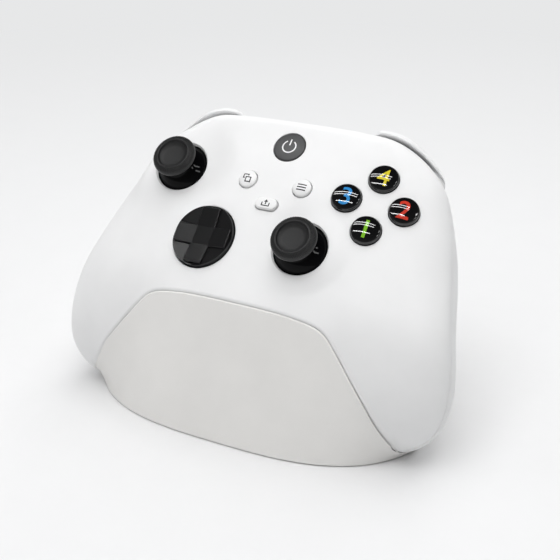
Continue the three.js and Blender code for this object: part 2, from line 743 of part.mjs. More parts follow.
// ---- inside the controller ----------------------------------------------------------------------
function mainBoard() {
  const plate = stack(roundedRect(44, 22, 5), [[BOARD_TOP - BOARD_THICK, 0], [BOARD_TOP, 0]]);
  return plate.translate(0, 4, 0);
}

piece(controller, "main_board", mainBoard(), BOARD_GREEN);
const cell = stack(roundedRect(CELL.half, (CELL.v1 - CELL.v0) / 2, 3), [
  [CELL.w0, 1],
  [CELL.w0 + 1, 0],
  [CELL.w1 - 1, 0],
  [CELL.w1, 1],
]);
piece(controller, "battery_pack", cell.translate(0, (CELL.v0 + CELL.v1) / 2, 0), BLACK_PLASTIC);

const contactPlate = (side, grow) =>
  box(
    side * CONTACT_AT[0] - 3 - grow,
    side * CONTACT_AT[0] + 3 + grow,
    CONTACT_AT[1] - 5 - grow,
    CONTACT_AT[1] + 5 + grow,
    REAR_FLAT - (grow ? 5 : 0.2),
    REAR_FLAT + 0.6 + grow,
  );
piece(
  controller,
  "battery_cover",
  cut(shells.hatch, contactPlate(-1, PART_GAP), contactPlate(1, PART_GAP)),
  WHITE,
);
piece(controller, "charge_contact_left", contactPlate(-1, 0), GOLD);
piece(controller, "charge_contact_right", contactPlate(1, 0), GOLD);

const RUMBLE_AT = [57, -38, -25];
for (const [name, side] of [
  ["left_rumble", -1],
  ["right_rumble", 1],
]) {
  // The weight hangs straight down from the motor's shaft, whatever the lean of the face.
  const turn = new THREE.Matrix4()
    .makeTranslation(side * RUMBLE_AT[0], RUMBLE_AT[1], RUMBLE_AT[2])
    .multiply(new THREE.Matrix4().makeRotationX(-TILT))
    .multiply(new THREE.Matrix4().makeRotationY((side * Math.PI) / 2));
  const can = spin([[0, -5], [5.2, -5], [5.8, -4.4], [5.8, 3.4], [5.2, 4], [1, 4], [1, 8.6], [0, 8.6]]);
  const half = common(
    spinRing([[1.3, 4.6], [5.4, 4.6], [5.4, 8.4], [1.3, 8.4]]),
    side > 0 ? box(-3.2, 6, -6, 6, 0, 20) : box(-6, 3.2, -6, 6, 0, 20),
  );
  piece(controller, name + "_motor", can, STEEL, turn);
  piece(controller, name + "_weight", half, STEEL, turn);
}

function usbPort() {
  const outline = roundedRect(4.4, 1.55, 1.5);
  const bar = (grow, z0, z1) => stack((i) => outline(i - grow), [[z0, 0], [z1, 0]]);
  const shellOf = cut(bar(0, -7.5, 0), bar(-0.4, -6.5, 1));
  return shellOf.rotateX(-Math.PI / 2).translate(0, 43.6, -13.1);
}

piece(controller, "usb_port", usbPort(), STEEL);
const pairKey = spin([[0, -7.2], [2.6, -7.2], [2.6, -6.4], [1.6, -6.4], [1.6, 0.2], [0, 0.4]], 16);
pairKey.rotateX(-Math.PI / 2).translate(16, 43.9, -12);
piece(controller, "pair_button", pairKey, WHITE);
const jack = spinRing([[1.85, 0], [3.0, 0], [3.0, 9], [1.85, 9]], 20);
jack.rotateX(-Math.PI / 2).translate(0, -32.7, -14.5);
piece(controller, "headset_jack", jack, BLACK_PLASTIC);

// ---- the stand ----------------------------------------------------------------------------------
// Floor outline: a blunt oval, here its front and rear Y at X.
const floorReach = (x) => BASE_DEPTH * Math.sqrt(Math.max(1 - Math.abs(x / BASE_HALF) ** 3, 0));

// Lower boundary of the controller at one column, front to rear, as row-frame [Y, Z] points.
function underside(u) {
  const top = OUTLINE.slice(0, WIDEST + 1);
  const bottom = OUTLINE.slice(WIDEST).reverse();
  const [lo, hi] = [interpolate(bottom, Math.abs(u)), interpolate(top, Math.abs(u))];
  const walk = [];
  const add = (v, w) => walk.push(toRow(u, v, w).slice(1));
  const fine = 3 * ROWS;
  for (let j = fine; j > 0; j--) {
    const v = lerp(lo, hi, spread(fine, j));
    add(v, frontHeight(u, v));
  }
  add(lo, partingHeight(u, lo));
  for (let j = 1; j <= fine; j++) {
    const v = lerp(lo, hi, spread(fine, j));
    add(v, rearHeight(u, v));
  }
  const least = walk.reduce((best, p, i) => (p[0] < walk[best][0] ? i : best), 0);
  const forward = [walk[least]];
  for (const p of walk.slice(least)) if (p[0] > forward.at(-1)[0]) forward.push(p);
  return forward;
}

// Everything above the controller's underside, let out by gap: what must stay free to lift it off.
function liftSpace(gap, across = COLUMNS, deep = 12) {
  const shares = Array.from({ length: across + 1 }, (_, i) => 0.998 * (2 * spread(across, i) - 1));
  const lines = shares.map((share) => underside(HALF_WIDTH * share));
  const rings = shares.map((share, i) => {
    const [before, after] = [Math.max(i - 1, 0), Math.min(i + 1, across)];
    const apart = HALF_WIDTH * (shares[after] - shares[before]);
    const low = [];
    for (let k = 0; k <= deep; k++) {
      const y = lerp(lines[i][0][0], lines[i].at(-1)[0], spread(deep, k));
      const along = (interpolate(lines[i], y + 0.4) - interpolate(lines[i], y - 0.4)) / 0.8;
      const aside = (interpolate(lines[after], y) - interpolate(lines[before], y)) / apart;
      const drop = Math.min(Math.hypot(1, along, aside), 4) * gap;
      low.push([y + lerp(-gap, gap, k / deep), interpolate(lines[i], y) - drop]);
    }
    const closed = [[low[0][0], LIFT_TOP], ...low, [low.at(-1)[0], LIFT_TOP]];
    return closed.map(([y, z]) => [(HALF_WIDTH + gap) * share, y, z]);
  });
  return loft(rings);
}

// The line the front cover meets: up the chin's round edge, running out to nothing at the grip tips.
function seamLine() {
  const half = [];
  let run = 0;
  innerEdge.forEach(([u, v], i) => {
    if (i) run += Math.hypot(u - innerEdge[i - 1][0], v - innerEdge[i - 1][1]);
    const [nu, nv] = normalAt(innerEdge, i);
    const inset = SEAM_INSET * Math.sqrt(clamp(run / 14));
    const at = [u - nu * inset, v - nv * inset];
    if (!half.length || at[0] < half.at(-1)[0] - 0.05) half.push(at);
  });
  const right = half.map(([u, v]) => toRow(Math.max(u, 0), v, frontHeight(u, v)));
  const left = right.map(([x, y, z]) => [-x, y, z]);
  return [...left, ...right.slice(0, -1).reverse()];
}

const SEAM = seamLine();

// Outer face of the front cover at seam point k, share 0 at the floor and 1 at the seam, moved in by inset.
function coverPoint(k, share, inset) {
  const [x, y, z] = SEAM[k];
  const floorX = x * 1.06;
  const floorPoint = [floorX, BASE_Y - floorReach(floorX), COVER_FOOT];
  const before = SEAM[Math.max(k - 1, 0)];
  const after = SEAM[Math.min(k + 1, SEAM.length - 1)];
  const long = Math.hypot(after[0] - before[0], after[1] - before[1]);
  const out = [(after[1] - before[1]) / long, -(after[0] - before[0]) / long];
  const edge = [x + out[0] * COVER_PROUD, y + out[1] * COVER_PROUD, z - COVER_GAP];
  const [fx, fy] = [floorPoint[0] / BASE_HALF ** 2, (floorPoint[1] - BASE_Y) / BASE_DEPTH ** 2];
  const flat = Math.hypot(fx, fy);
  const inward = [lerp(-fx / flat, -out[0], share), lerp(-fy / flat, -out[1], share)];
  const belly = COVER_BELLY * (x / SEAM[0][0]) ** 4 * Math.sin(Math.PI * share);
  return [
    lerp(floorPoint[0], edge[0], share) + inward[0] * (inset - belly),
    lerp(floorPoint[1], edge[1], share) + inward[1] * (inset - belly),
    lerp(floorPoint[2], edge[2], share),
  ];
}

// The cover's strip between two insets: its top outer edge broken when trim is 1, its ends run on
// when trim is 0.
function coverStrip(outer, inner, trim) {
  const section = [
    [0, outer],
    [0.5, outer],
    [1 - 0.04 * trim, outer],
    [1 - 0.015 * trim, outer + 0.2 * trim],
    [1, outer + 0.8 * trim],
    [1, inner],
    [0, inner],
  ];
  const picks = SEAM.map((_, k) => k).filter((k) => k % 2 === 0 || k === SEAM.length - 1);
  const rings = picks.map((k) => section.map(([share, inset]) => coverPoint(k, share, inset)));
  if (!trim) {
    const beyond = (a, b) => a.map((p, i) => p.map((x, j) => x + 3 * (x - b[i][j])));
    rings.unshift(beyond(rings[0], rings[1]));
    rings.push(beyond(rings.at(-1), rings.at(-2)));
  }
  return loft(rings);
}

function frontCover() {
  return largest(cut(coverStrip(0, COVER_THICK, 1), liftSpace(LIP_GAP)));
}

// Solid block of the stand behind the cover, drawn in by wall on every side but the floor.
function standBlock(wall, floor, across = 24) {
  const half = BASE_HALF - 0.8 - wall;
  const rings = [];
  for (let i = 0; i <= across; i++) {
    const x = half * (2 * spread(across, i) - 1) * 0.995;
    const outward = clamp(Math.abs(x) / 62);
    const top = 6 + 60 * (1 - outward ** 4) - wall;
    const reach = floorReach(x * (BASE_HALF / (half + 0.8)));
    const front = BASE_Y - reach + Math.min(COVER_THICK + COVER_GAP + 0.5 + wall, reach);
    const lean = 0.3 * (1 - (Math.abs(x) / 52) ** 4);
    const frontTop = Math.min(front + Math.max(lean, -0.1) * top, BASE_Y + reach * 0.3);
    const rear = BASE_Y + Math.max(reach - wall, 0.5);
    const rearTop = BASE_Y + Math.max(reach * 0.72 - wall, 0.4);
    rings.push([
      [x, front, floor],
      [x, lerp(front, frontTop, 0.5), lerp(floor, top, 0.5)],
      [x, frontTop, top],
      [x, lerp(frontTop, rearTop, 0.5), top],
      [x, rearTop, top],
      [x, lerp(rear, rearTop, 0.75), lerp(floor, top, 0.8)],
      [x, lerp(rear, rearTop, 0.35), lerp(floor, top, 0.45)],
      [x, rear, floor],
    ]);
  }
  return loft(rings);
}

const CONTACT_BLOCK = { u: 15, v0: -11, v1: 3, w0: -39, w1: REAR_FLAT - 1.7 };
const blockBox = (grow, up) =>
  box(
    -CONTACT_BLOCK.u - grow,
    CONTACT_BLOCK.u + grow,
    CONTACT_BLOCK.v0 - grow,
    CONTACT_BLOCK.v1 + grow,
    CONTACT_BLOCK.w0 - grow,
    CONTACT_BLOCK.w1 + up,
  );
controller.updateMatrixWorld(true);
const leaned = (geometry) => geometry.clone().applyMatrix4(controller.matrixWorld);
const GLAND_Z = 11;

function standBody() {
  const posts = SCREW_AT.map(([x, y]) =>
    new THREE.CylinderGeometry(3.2, 3.2, 80, 16).rotateX(Math.PI / 2).translate(x, y, PLATE_Z[1] + 40.3),
  );
  const hollow = cut(standBlock(STAND_WALL, -1, 12), liftSpace(DOCK_GAP + STAND_WALL, 14, 6), ...posts);
  const bores = SCREW_AT.map(([x, y]) =>
    new THREE.CylinderGeometry(1.6, 1.6, 20, 12).rotateX(Math.PI / 2).translate(x, y, 2),
  );
  const glandHole = new THREE.CylinderGeometry(4.3, 4.3, 30, 20).translate(0, 40, GLAND_Z);
  const solid = cut(standBlock(0, BODY_FLOOR), liftSpace(DOCK_GAP), hollow);
  const clear = coverStrip(-4, COVER_THICK + 1.4, 0);
  return largest(cut(solid, clear, leaned(blockBox(PART_GAP, 6)), glandHole, ...bores));
}

const ovalPlate = (inset, z0, z1) => {
  const points = [];
  for (let k = 0; k < 40; k++) {
    const angle = (2 * Math.PI * (k + 0.5)) / 40;
    const [c, s] = [Math.cos(angle), Math.sin(angle)];
    points.push([
      (BASE_HALF - inset) * Math.sign(c) * Math.abs(c) ** (2 / 3),
      BASE_Y + (BASE_DEPTH - inset) * s,
    ]);
  }
  return loft([points.map(([x, y]) => [x, y, z0]), points.map(([x, y]) => [x, y, z1])]);
};

function basePlate() {
  const counterbores = SCREW_AT.flatMap(([x, y]) => [
    new THREE.CylinderGeometry(1.6, 1.6, 20, 12).rotateX(Math.PI / 2).translate(x, y, 0),
    new THREE.CylinderGeometry(3.0, 3.0, 2, 16).rotateX(Math.PI / 2).translate(x, y, PLATE_Z[0]),
  ]);
  return cut(ovalPlate(8.5, PLATE_Z[0], PLATE_Z[1]), ...counterbores);
}

piece(root, "foot_pad", ovalPlate(5, 0, PAD_THICK), DARK_RUBBER);
piece(root, "base_plate", basePlate(), PANEL_WHITE);
piece(root, "stand_body", standBody(), PANEL_WHITE);
piece(root, "front_cover", frontCover(), PANEL_WHITE);
SCREW_AT.forEach(([x, y], i) => {
  const screw = spin([[0, 1.6], [2.6, 1.6], [2.6, 2.4], [1.25, 2.5], [1.25, 10], [0, 11]], 16);
  piece(root, "base_screw_" + (i + 1), screw, STEEL, new THREE.Matrix4().makeTranslation(x, y, 0));
});
const ballast = stack(roundedRect(26, 14, 3), [[3.9, 0], [8.4, 0]]);
piece(root, "ballast_plate", ballast.translate(0, 0, 0), STEEL);
const boardShape = stack(roundedRect(14, 7, 1), [[9.0, 0], [10.6, 0]]);
piece(root, "charge_board", boardShape.translate(0, 22, 0), BOARD_GREEN);

const pinBore = (side) =>
  new THREE.CylinderGeometry(1.3, 1.3, 6, 16)
    .rotateX(Math.PI / 2)
    .translate(side * CONTACT_AT[0], CONTACT_AT[1], CONTACT_BLOCK.w1 - 2);
piece(controller, "contact_block", cut(blockBox(0, 0), pinBore(-1), pinBore(1)), BLACK_PLASTIC);
for (const [name, side] of [
  ["contact_pin_left", -1],
  ["contact_pin_right", 1],
]) {
  const pin = spin([[0, -4.6], [1, -4.6], [1, -0.4], [0.6, 0], [0, 0]], 14);
  const at = new THREE.Matrix4().makeTranslation(side * CONTACT_AT[0], CONTACT_AT[1], REAR_FLAT - 0.6);
  piece(controller, name, pin, GOLD, at);
}

const glandProfile = [[1.9, -7], [3.9, -7], [3.9, 1.2], [5.4, 1.4], [5.0, 3.2], [3.0, 5.5], [1.9, 5.5]];
const gland = spinRing(glandProfile, 20);
gland.rotateX(-Math.PI / 2).translate(0, BASE_Y + BASE_DEPTH - 1.2, GLAND_Z);
piece(root, "cable_gland", gland, BLACK_PLASTIC);

export default root;
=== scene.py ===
# %% [markdown]
# # A game controller on its charging stand
# The object is a white gamepad that leans back on a white stand. Its shape comes from one smooth
# outline seen from the front, a gently domed face over it and a deeper bowl under it. The frame that
# this script loads already holds every part as a plain faceted solid in its right place. This lesson
# makes each visible part again with fine, rounded surfaces and real finishes, in that same place.

# %% Tools and the frame
import json
import math

import bmesh
import bpy
import numpy as np
from mathutils import Matrix, Vector


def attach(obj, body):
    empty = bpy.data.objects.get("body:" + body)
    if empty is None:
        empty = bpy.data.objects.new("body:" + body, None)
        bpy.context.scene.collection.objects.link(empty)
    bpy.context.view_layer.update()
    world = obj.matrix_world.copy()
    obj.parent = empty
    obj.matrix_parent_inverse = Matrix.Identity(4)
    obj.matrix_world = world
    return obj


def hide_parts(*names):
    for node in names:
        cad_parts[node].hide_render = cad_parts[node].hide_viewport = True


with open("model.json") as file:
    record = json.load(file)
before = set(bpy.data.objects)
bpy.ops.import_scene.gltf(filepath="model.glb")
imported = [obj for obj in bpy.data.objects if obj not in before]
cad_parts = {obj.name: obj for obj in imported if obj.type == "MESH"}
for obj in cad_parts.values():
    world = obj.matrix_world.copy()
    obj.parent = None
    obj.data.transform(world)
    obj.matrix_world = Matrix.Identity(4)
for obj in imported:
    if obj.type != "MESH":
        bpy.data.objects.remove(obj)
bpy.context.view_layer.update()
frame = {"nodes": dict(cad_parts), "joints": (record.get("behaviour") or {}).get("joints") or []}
scene = bpy.context.scene
print("solids in the frame:", len(frame["nodes"]))

# %% [markdown]
# ## Where the controller's face is
# The controller is easiest to model lying in its own face frame: u to the right, v up the face and
# w straight out of it, in millimetres. One matrix then leans the whole thing back onto the stand.
# The charging pins slide exactly along w, so the frame's own joint gives the lean.

# %% The face frame
MM = 0.001
joints = {joint["name"]: joint for joint in frame["joints"]}
face_out = Vector(joints["contact_pin_left_press"]["axis"])
LEAN = math.atan2(-face_out.y, face_out.z)
FACE_HEIGHT = 73.9  # middle of the face above the table
FACE = Matrix.Translation((0, 0, FACE_HEIGHT * MM)) @ Matrix.Rotation(LEAN, 4, "X")
TABLE = Matrix.Identity(4)
SIDES = {"left": -1, "right": 1}
print("the face leans back", round(math.degrees(LEAN), 2), "degrees")


def to_table(points):
    """Face-frame millimetres to table-frame millimetres, as arrays of [u, v, w]."""
    points = np.asarray(points, float)
    turn = np.array(Matrix.Rotation(LEAN, 3, "X"))
    return points @ turn.T + np.array([0, 0, FACE_HEIGHT])


def moved(x, y, z=0):
    """A shift in millimetres."""
    return Matrix.Translation(Vector((x, y, z)) * MM)


def placed(name, data):
    """A new object at the origin of the scene."""
    thing = bpy.data.objects.new(name, data)
    scene.collection.objects.link(thing)
    return thing


def baked(piece):
    """The mesh of an object with its modifiers applied."""
    return bpy.data.meshes.new_from_object(piece.evaluated_get(bpy.context.evaluated_depsgraph_get()))


# %% [markdown]
# ## The table, the camera and the light
# A product like this is shown on a pale sweep with soft light from above. The floor is one large
# plane that fades into the backdrop's colour, so that there is no horizon line. Light from all round
# is the world's work and that of six large soft boxes. A few long narrow lamps hang there as well:
# they add little light, and they draw the thin bright bars that make glossy black parts read as glossy.

# %% The camera
LENS, SENSOR = 64.6, 36  # millimetres
CAMERA_AT = (0.1511, -0.2947, 0.2085)  # metres
CAMERA_TURN = (64.2, -0.16, 26.13)  # degrees
camera = placed("camera", bpy.data.cameras.new("camera"))
camera.data.lens, camera.data.sensor_width = LENS, SENSOR
camera.data.clip_start, camera.data.clip_end = 0.01, 20
camera.location = CAMERA_AT
camera.rotation_euler = [math.radians(a) for a in CAMERA_TURN]
scene.camera = camera
scene.view_settings.view_transform = "Standard"


# %% A small kit for node trees
def feed(tree, node, sockets):
    """Sets inputs, by name or number, to plain values, or wires them to outputs or nodes."""
    for key, value in sockets.items():
        if isinstance(value, bpy.types.Node):
            value = value.outputs[0]
        if isinstance(value, bpy.types.NodeSocket):
            tree.links.new(value, node.inputs[key])
        else:
            node.inputs[key].default_value = value


def node_in(tree, kind, sockets=(), **settings):
    """Adds a node with its settings and feeds its sockets."""
    node = tree.nodes.new(kind)
    for name, value in settings.items():
        setattr(node, name, value)
    feed(tree, node, dict(sockets))
    return node


# %% The world
BACKDROP = (0.80, 0.805, 0.81, 1)
world = bpy.data.worlds.new("studio")
scene.world = world
world.use_nodes = True
sky = world.node_tree
sky.nodes.clear()


def light_by_height(low, high, strength):
    """A background whose colour climbs from low at the horizon to high overhead."""
    where = node_in(sky, "ShaderNodeTexCoord").outputs["Generated"]
    height = node_in(sky, "ShaderNodeSeparateXYZ", {0: where}).outputs["Z"]
    ramp = node_in(sky, "ShaderNodeValToRGB", {0: height})
    for stop, grey in zip(ramp.color_ramp.elements, (low, high)):
        stop.color = grey
    return node_in(sky, "ShaderNodeBackground", {"Color": ramp, "Strength": strength})


ambient = light_by_height((1, 1, 1, 1), (1, 1, 1, 1), 0.03)
seen = light_by_height(BACKDROP, BACKDROP, 1.0)
mirrored = light_by_height((0.3, 0.3, 0.3, 1), (0.03, 0.03, 0.03, 1), 1.0)
rays = node_in(sky, "ShaderNodeLightPath").outputs
straight = node_in(sky, "ShaderNodeMath", {0: rays["Is Camera Ray"], 1: rays["Is Transmission Ray"]},
                   operation="MAXIMUM")
lit = node_in(sky, "ShaderNodeMixShader", {0: rays["Is Glossy Ray"], 1: ambient, 2: mirrored})
shown = node_in(sky, "ShaderNodeMixShader", {0: straight, 1: lit, 2: seen})
node_in(sky, "ShaderNodeOutputWorld", {0: shown})


# %% Lamps
TARGET = Vector((0, 0, 0.08))
BOX_FAR, BOX_SIZE, BAR_WIDE, BAR_POWER = 1.3, 1.2, 0.017, 0.95  # metres, and watts


def lamp(name, place, size, power, along=(1, 0, 0)):
    """An area lamp that looks at the target; along is the direction of its long side."""
    light = bpy.data.lights.new(name, "AREA")
    light.shape = "RECTANGLE"
    light.size, light.size_y = size
    light.energy = power
    back = (place - TARGET).normalized()
    across = (Vector(along) - back * back.dot(Vector(along))).normalized()
    thing = placed(name, light)
    thing.rotation_euler = Matrix((across, back.cross(across), back)).transposed().to_euler()
    thing.location = place
    return thing


SOFTBOXES = {  # direction from the target, power in watts
    "top": ((0, 0, 1), 10.8), "front": ((0, -0.6, 0.8), 6.3), "front_left": ((-0.55, -0.45, 0.75), 2.8),
    "left": ((-0.8, 0.1, 0.6), 2.8), "right": ((0.8, 0.1, 0.6), 2.8), "back": ((0, 0.7, 0.7), 8.4),
}
for name, (toward, power) in SOFTBOXES.items():
    place = TARGET + Vector(toward).normalized() * BOX_FAR
    box = lamp("softbox_" + name, place, (BOX_SIZE, BOX_SIZE), power)
    box.visible_glossy = False
BARS = [((-0.17, -0.18, 0.92), 0.80), ((-0.17, -0.09, 0.92), 0.80), ((-0.12, -0.44, 0.85), 0.60)]
for i, (toward, long) in enumerate(BARS):
    bar = lamp(f"overhead_bar_{i + 1}", TARGET + Vector(toward), (long, BAR_WIDE), BAR_POWER)
    bar.visible_diffuse = False
for i, step in enumerate((-0.15, 0.15)):
    toward = Vector((0.67, -0.22, 0.70)) + Vector((-0.52, 0.53, 0.67)) * step
    side = lamp(f"side_bar_{i + 1}", TARGET + toward, (0.30, 0.08), 0.8, (0.65, 0.64, -0.41))
    side.visible_diffuse = False


# %% [markdown]
# ## Finishes
# Every finish is a small tree over one Principled shader. The real shells are moulded plastic with a
# very fine spark-eroded grain, so each tree has two noise layers on Object coordinates: a coarse one
# that drifts the colour by a hair, and a fine one that both roughens and bumps the surface.

# %% The finish maker
def finish(name, colour, rough, grain=0.3, fine=2600, depth=0.00002, drift=0.02, metal=0.0, coat=0.0,
           shine=0.5):
    """A moulded finish: grain is how much the roughness varies, depth the height of the bumps."""
    made = bpy.data.materials.new(name)
    made.use_nodes = True
    tree = made.node_tree
    where = node_in(tree, "ShaderNodeTexCoord").outputs["Object"]
    broad = node_in(tree, "ShaderNodeTexNoise", {"Vector": where, "Scale": 60, "Detail": 3.0})
    tint = node_in(tree, "ShaderNodeValToRGB", {0: broad.outputs["Fac"]})
    for stop, at, share in zip(tint.color_ramp.elements, (0.3, 0.7), (1 - drift, 1 + drift)):
        stop.position, stop.color = at, [min(c * share, 1) for c in colour] + [1]
    noise = node_in(tree, "ShaderNodeTexNoise", {"Vector": where, "Scale": fine, "Detail": 2.0})
    spark = noise.outputs["Fac"]
    roughness = node_in(tree, "ShaderNodeMapRange", {
        "Value": spark, "To Min": rough * (1 - grain), "To Max": min(rough * (1 + grain), 1)})
    bump = node_in(tree, "ShaderNodeBump", {"Height": spark, "Strength": 0.5, "Distance": depth})
    feed(tree, tree.nodes["Principled BSDF"], {
        "Base Color": tint, "Roughness": roughness, "Normal": bump, "Metallic": metal,
        "Specular IOR Level": shine, "Coat Weight": coat, "Coat Roughness": 0.03})
    return made


# %% The finishes of this object
SHELL = finish("shell_white", (0.85, 0.852, 0.855), 0.5)
PANEL = finish("stand_white", (0.845, 0.835, 0.815), 0.55, depth=0.000015)
KEY_WHITE = finish("key_white", (0.84, 0.84, 0.84), 0.32, grain=0.2, depth=0.00001)
GLOSS = finish("gloss_black", (0.003, 0.003, 0.0035), 0.05, grain=0.15, depth=0.0000004, coat=0.5)
DOME_BLACK = finish("dome_black", (0.0015, 0.0015, 0.002), 0.05, grain=0.15, depth=0.0000004, shine=0.11)
PAD_BLACK = finish("pad_black", (0.004, 0.004, 0.0045), 0.3, grain=0.15, depth=0.000004)
GRIP_RUBBER = finish("stick_rubber", (0.013, 0.013, 0.0135), 0.46, fine=3400, depth=0.00005, shine=0.45)
HOME_GREY = finish("home_grey", (0.05, 0.05, 0.052), 0.35, grain=0.2, depth=0.00001)
DULL_BLACK = finish("dull_black", (0.02, 0.02, 0.021), 0.5)
BOARD = finish("board_green", (0.015, 0.09, 0.04), 0.35)
STEEL = finish("steel", (0.55, 0.56, 0.57), 0.32, metal=1.0)
GOLD = finish("gold", (0.80, 0.56, 0.20), 0.25, metal=1.0)
ICON_GREY = finish("icon_grey", (0.014, 0.014, 0.015), 0.5, depth=0.00001)
ICON_WHITE = finish("icon_white", (0.86, 0.86, 0.86), 0.4, depth=0.00001)
FLOOR = finish("sweep", (0.778, 0.78, 0.785), 0.9, fine=300, depth=0.0001, drift=0.005)


def fade_out(material, start, end):
    """Lets a surface glow in the backdrop's colour from start to end metres away from the middle."""
    tree = material.node_tree
    where = node_in(tree, "ShaderNodeTexCoord").outputs["Object"]
    far = node_in(tree, "ShaderNodeVectorMath", {0: where}, operation="LENGTH").outputs["Value"]
    share = node_in(tree, "ShaderNodeMapRange", {"Value": far, "From Min": start, "From Max": end})
    glow = node_in(tree, "ShaderNodeEmission", {"Color": BACKDROP})
    mix = node_in(tree, "ShaderNodeMixShader", {0: share, 1: tree.nodes["Principled BSDF"], 2: glow})
    feed(tree, tree.nodes["Material Output"], {0: mix})


fade_out(FLOOR, 0.1, 0.7)
print("finishes:", len(bpy.data.materials))

# %% [markdown]
# ## The floor
# One wide plane stands for the paper sweep.

# %% The floor
def make_mesh(name, points, faces, material, frame_matrix=TABLE):
    """A mesh from millimetre points, put where frame_matrix says; its object stays at the origin."""
    points = np.asarray(points, float) * MM
    turn = np.array(frame_matrix)
    points = points @ turn[:3, :3].T + turn[:3, 3]
    mesh = bpy.data.meshes.new(name)
    mesh.from_pydata(points.tolist(), [], [list(f) for f in faces])
    mesh.materials.append(material)
    return placed(name, mesh)


FLOOR_HALF = 3000
corners = [(x * FLOOR_HALF, y * FLOOR_HALF, 0) for x, y in ((-1, -1), (1, -1), (1, 1), (-1, 1))]
sweep = make_mesh("sweep", corners, [(0, 1, 2, 3)], FLOOR)


# %% [markdown]
# ## Mesh tools
# Turned parts come from a profile spun round an axis, with each corner of the profile rounded first,
# because no moulded edge is truly sharp. Openings come from Boolean modifiers that are applied at once.
# After every cut the doubles are merged, the faces are turned outwards and the shading is smoothed,
# except over edges sharper than a set angle.

# %% Profiles and turned solids
def rounded(profile, radius, steps=5):
    """A profile with each inner corner rounded; radius is one value or one for each point."""
    radii = radius if isinstance(radius, (list, tuple)) else [radius] * len(profile)
    out = [tuple(profile[0])]
    for before, at, after, r in zip(profile, profile[1:], profile[2:], radii[1:]):
        before, at, after = Vector(before), Vector(at), Vector(after)
        reach = min(r, (at - before).length * 0.45, (after - at).length * 0.45)
        if reach < 1e-4:
            out.append(tuple(at))
            continue
        start = at + (before - at).normalized() * reach
        end = at + (after - at).normalized() * reach
        out += [tuple(start * (1 - t) ** 2 + at * 2 * t * (1 - t) + end * t * t)
                for t in [k / steps for k in range(steps + 1)]]
    return [*out, tuple(profile[-1])]


def quarter(radius, points):
    """A quarter round from a wall onto a face, as (distance along the wall, distance away from it)."""
    return [(radius * math.sin(a), radius * (1 - math.cos(a))) for a in np.linspace(0, math.pi / 2, points)]


def tidy(piece, sharp=35):
    """Merges doubles, turns faces outwards and smooths the shading."""
    shape = bmesh.new()
    shape.from_mesh(piece.data)
    bmesh.ops.remove_doubles(shape, verts=shape.verts, dist=2e-7)
    bmesh.ops.dissolve_degenerate(shape, edges=shape.edges, dist=1e-7)
    bmesh.ops.recalc_face_normals(shape, faces=shape.faces)
    shape.to_mesh(piece.data)
    shape.free()
    piece.data.shade_smooth()
    piece.data.set_sharp_from_angle(angle=math.radians(sharp))
    return piece


def tube_faces(rows, count):
    """Quads between rows of points, each row closed on itself."""
    return [(i * count + k, i * count + (k + 1) % count, (i + 1) * count + (k + 1) % count,
             (i + 1) * count + k) for i in range(rows - 1) for k in range(count)]


def turned(name, profile, material, at=TABLE, sides=64, ring=False, sharp=35):
    """Spins [radius, height] points; a ring's profile closes on itself away from the axis."""
    profile = list(profile) + ([profile[0]] if ring else [])
    angles = [2 * math.pi * k / sides for k in range(sides)]
    points = [(r * math.cos(a), r * math.sin(a), z) for r, z in profile for a in angles]
    return tidy(make_mesh(name, points, tube_faces(len(profile), sides), material, at), sharp)


# %% Lofts and boxes
def lofted(name, rings, material, at=TABLE, sharp=35):
    """A closed solid through rings of equal length, with a flat cap at each end."""
    count, points = len(rings[0]), [p for ring in rings for p in ring]
    faces = tube_faces(len(rings), count)
    faces += [list(range(count))[::-1], [len(points) - count + k for k in range(count)]]
    return tidy(make_mesh(name, points, faces, material, at), sharp)


def block(name, low, high, material, at=TABLE):
    """A plain box, used as a cutter."""
    (x0, y0, z0), (x1, y1, z1) = low, high
    ring = [(x0, y0), (x1, y0), (x1, y1), (x0, y1)]
    return lofted(name, [[(x, y, z) for x, y in ring] for z in (z0, z1)], material, at)


def rod(name, radius, low, high, material, at=TABLE, sides=32):
    """A plain round bar, used as a cutter."""
    return turned(name, [(0, low), (radius, low), (radius, high), (0, high)], material, at, sides)


# %% Cutting
def boolean(piece, kind, *tools, sharp=35):
    """Applies one Boolean after another and throws the tools away."""
    for tool in tools:
        modifier = piece.modifiers.new("cut", "BOOLEAN")
        modifier.operation, modifier.solver, modifier.object = kind, "MANIFOLD", tool
        made, old = baked(piece), piece.data
        piece.modifiers.clear()
        piece.data = made
        bpy.data.meshes.remove(old)
    for tool in set(tools):
        bpy.data.objects.remove(tool)
    return tidy(piece, sharp)


def beveled(piece, width):
    """Rounds every edge that isn't nearly flat already."""
    bevel = piece.modifiers.new("bevel", "BEVEL")
    bevel.width, bevel.segments = width * MM, 4
    bevel.limit_method, bevel.angle_limit = "ANGLE", math.radians(30)
    piece.data = baked(piece)
    piece.modifiers.clear()
    return piece


def done(piece, body, slot, *nodes):
    """The piece rides on its body and stands for its solids; slot is not used."""
    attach(piece, body)
    if nodes:
        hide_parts(*nodes)
    print(piece.name, len(piece.data.polygons), "faces")
    return piece


# %% [markdown]
# ## The controller's outline
# Half of the outline runs from the middle of the top edge, round one grip, to the middle of the chin.
# A Catmull-Rom curve through a few points gives a line without corners, and mirroring makes the rest.

# %% The outline
HALF_OUTLINE = [
    (0, 42.4), (13.7, 42.5), (25.4, 42.3), (38.5, 41.0), (49.7, 35.7), (58.0, 27.0), (63.7, 12.9),
    (68.1, -2.8), (72.0, -18.5), (75.3, -32.2), (76.3, -43.4), (74.4, -52.8), (68.6, -58.9),
    (61.6, -61.2), (54.9, -58.5), (46.3, -50.3), (38.2, -41.7), (32.2, -36.8), (21.5, -35.4),
    (10.7, -35.1), (0, -35.1),
]


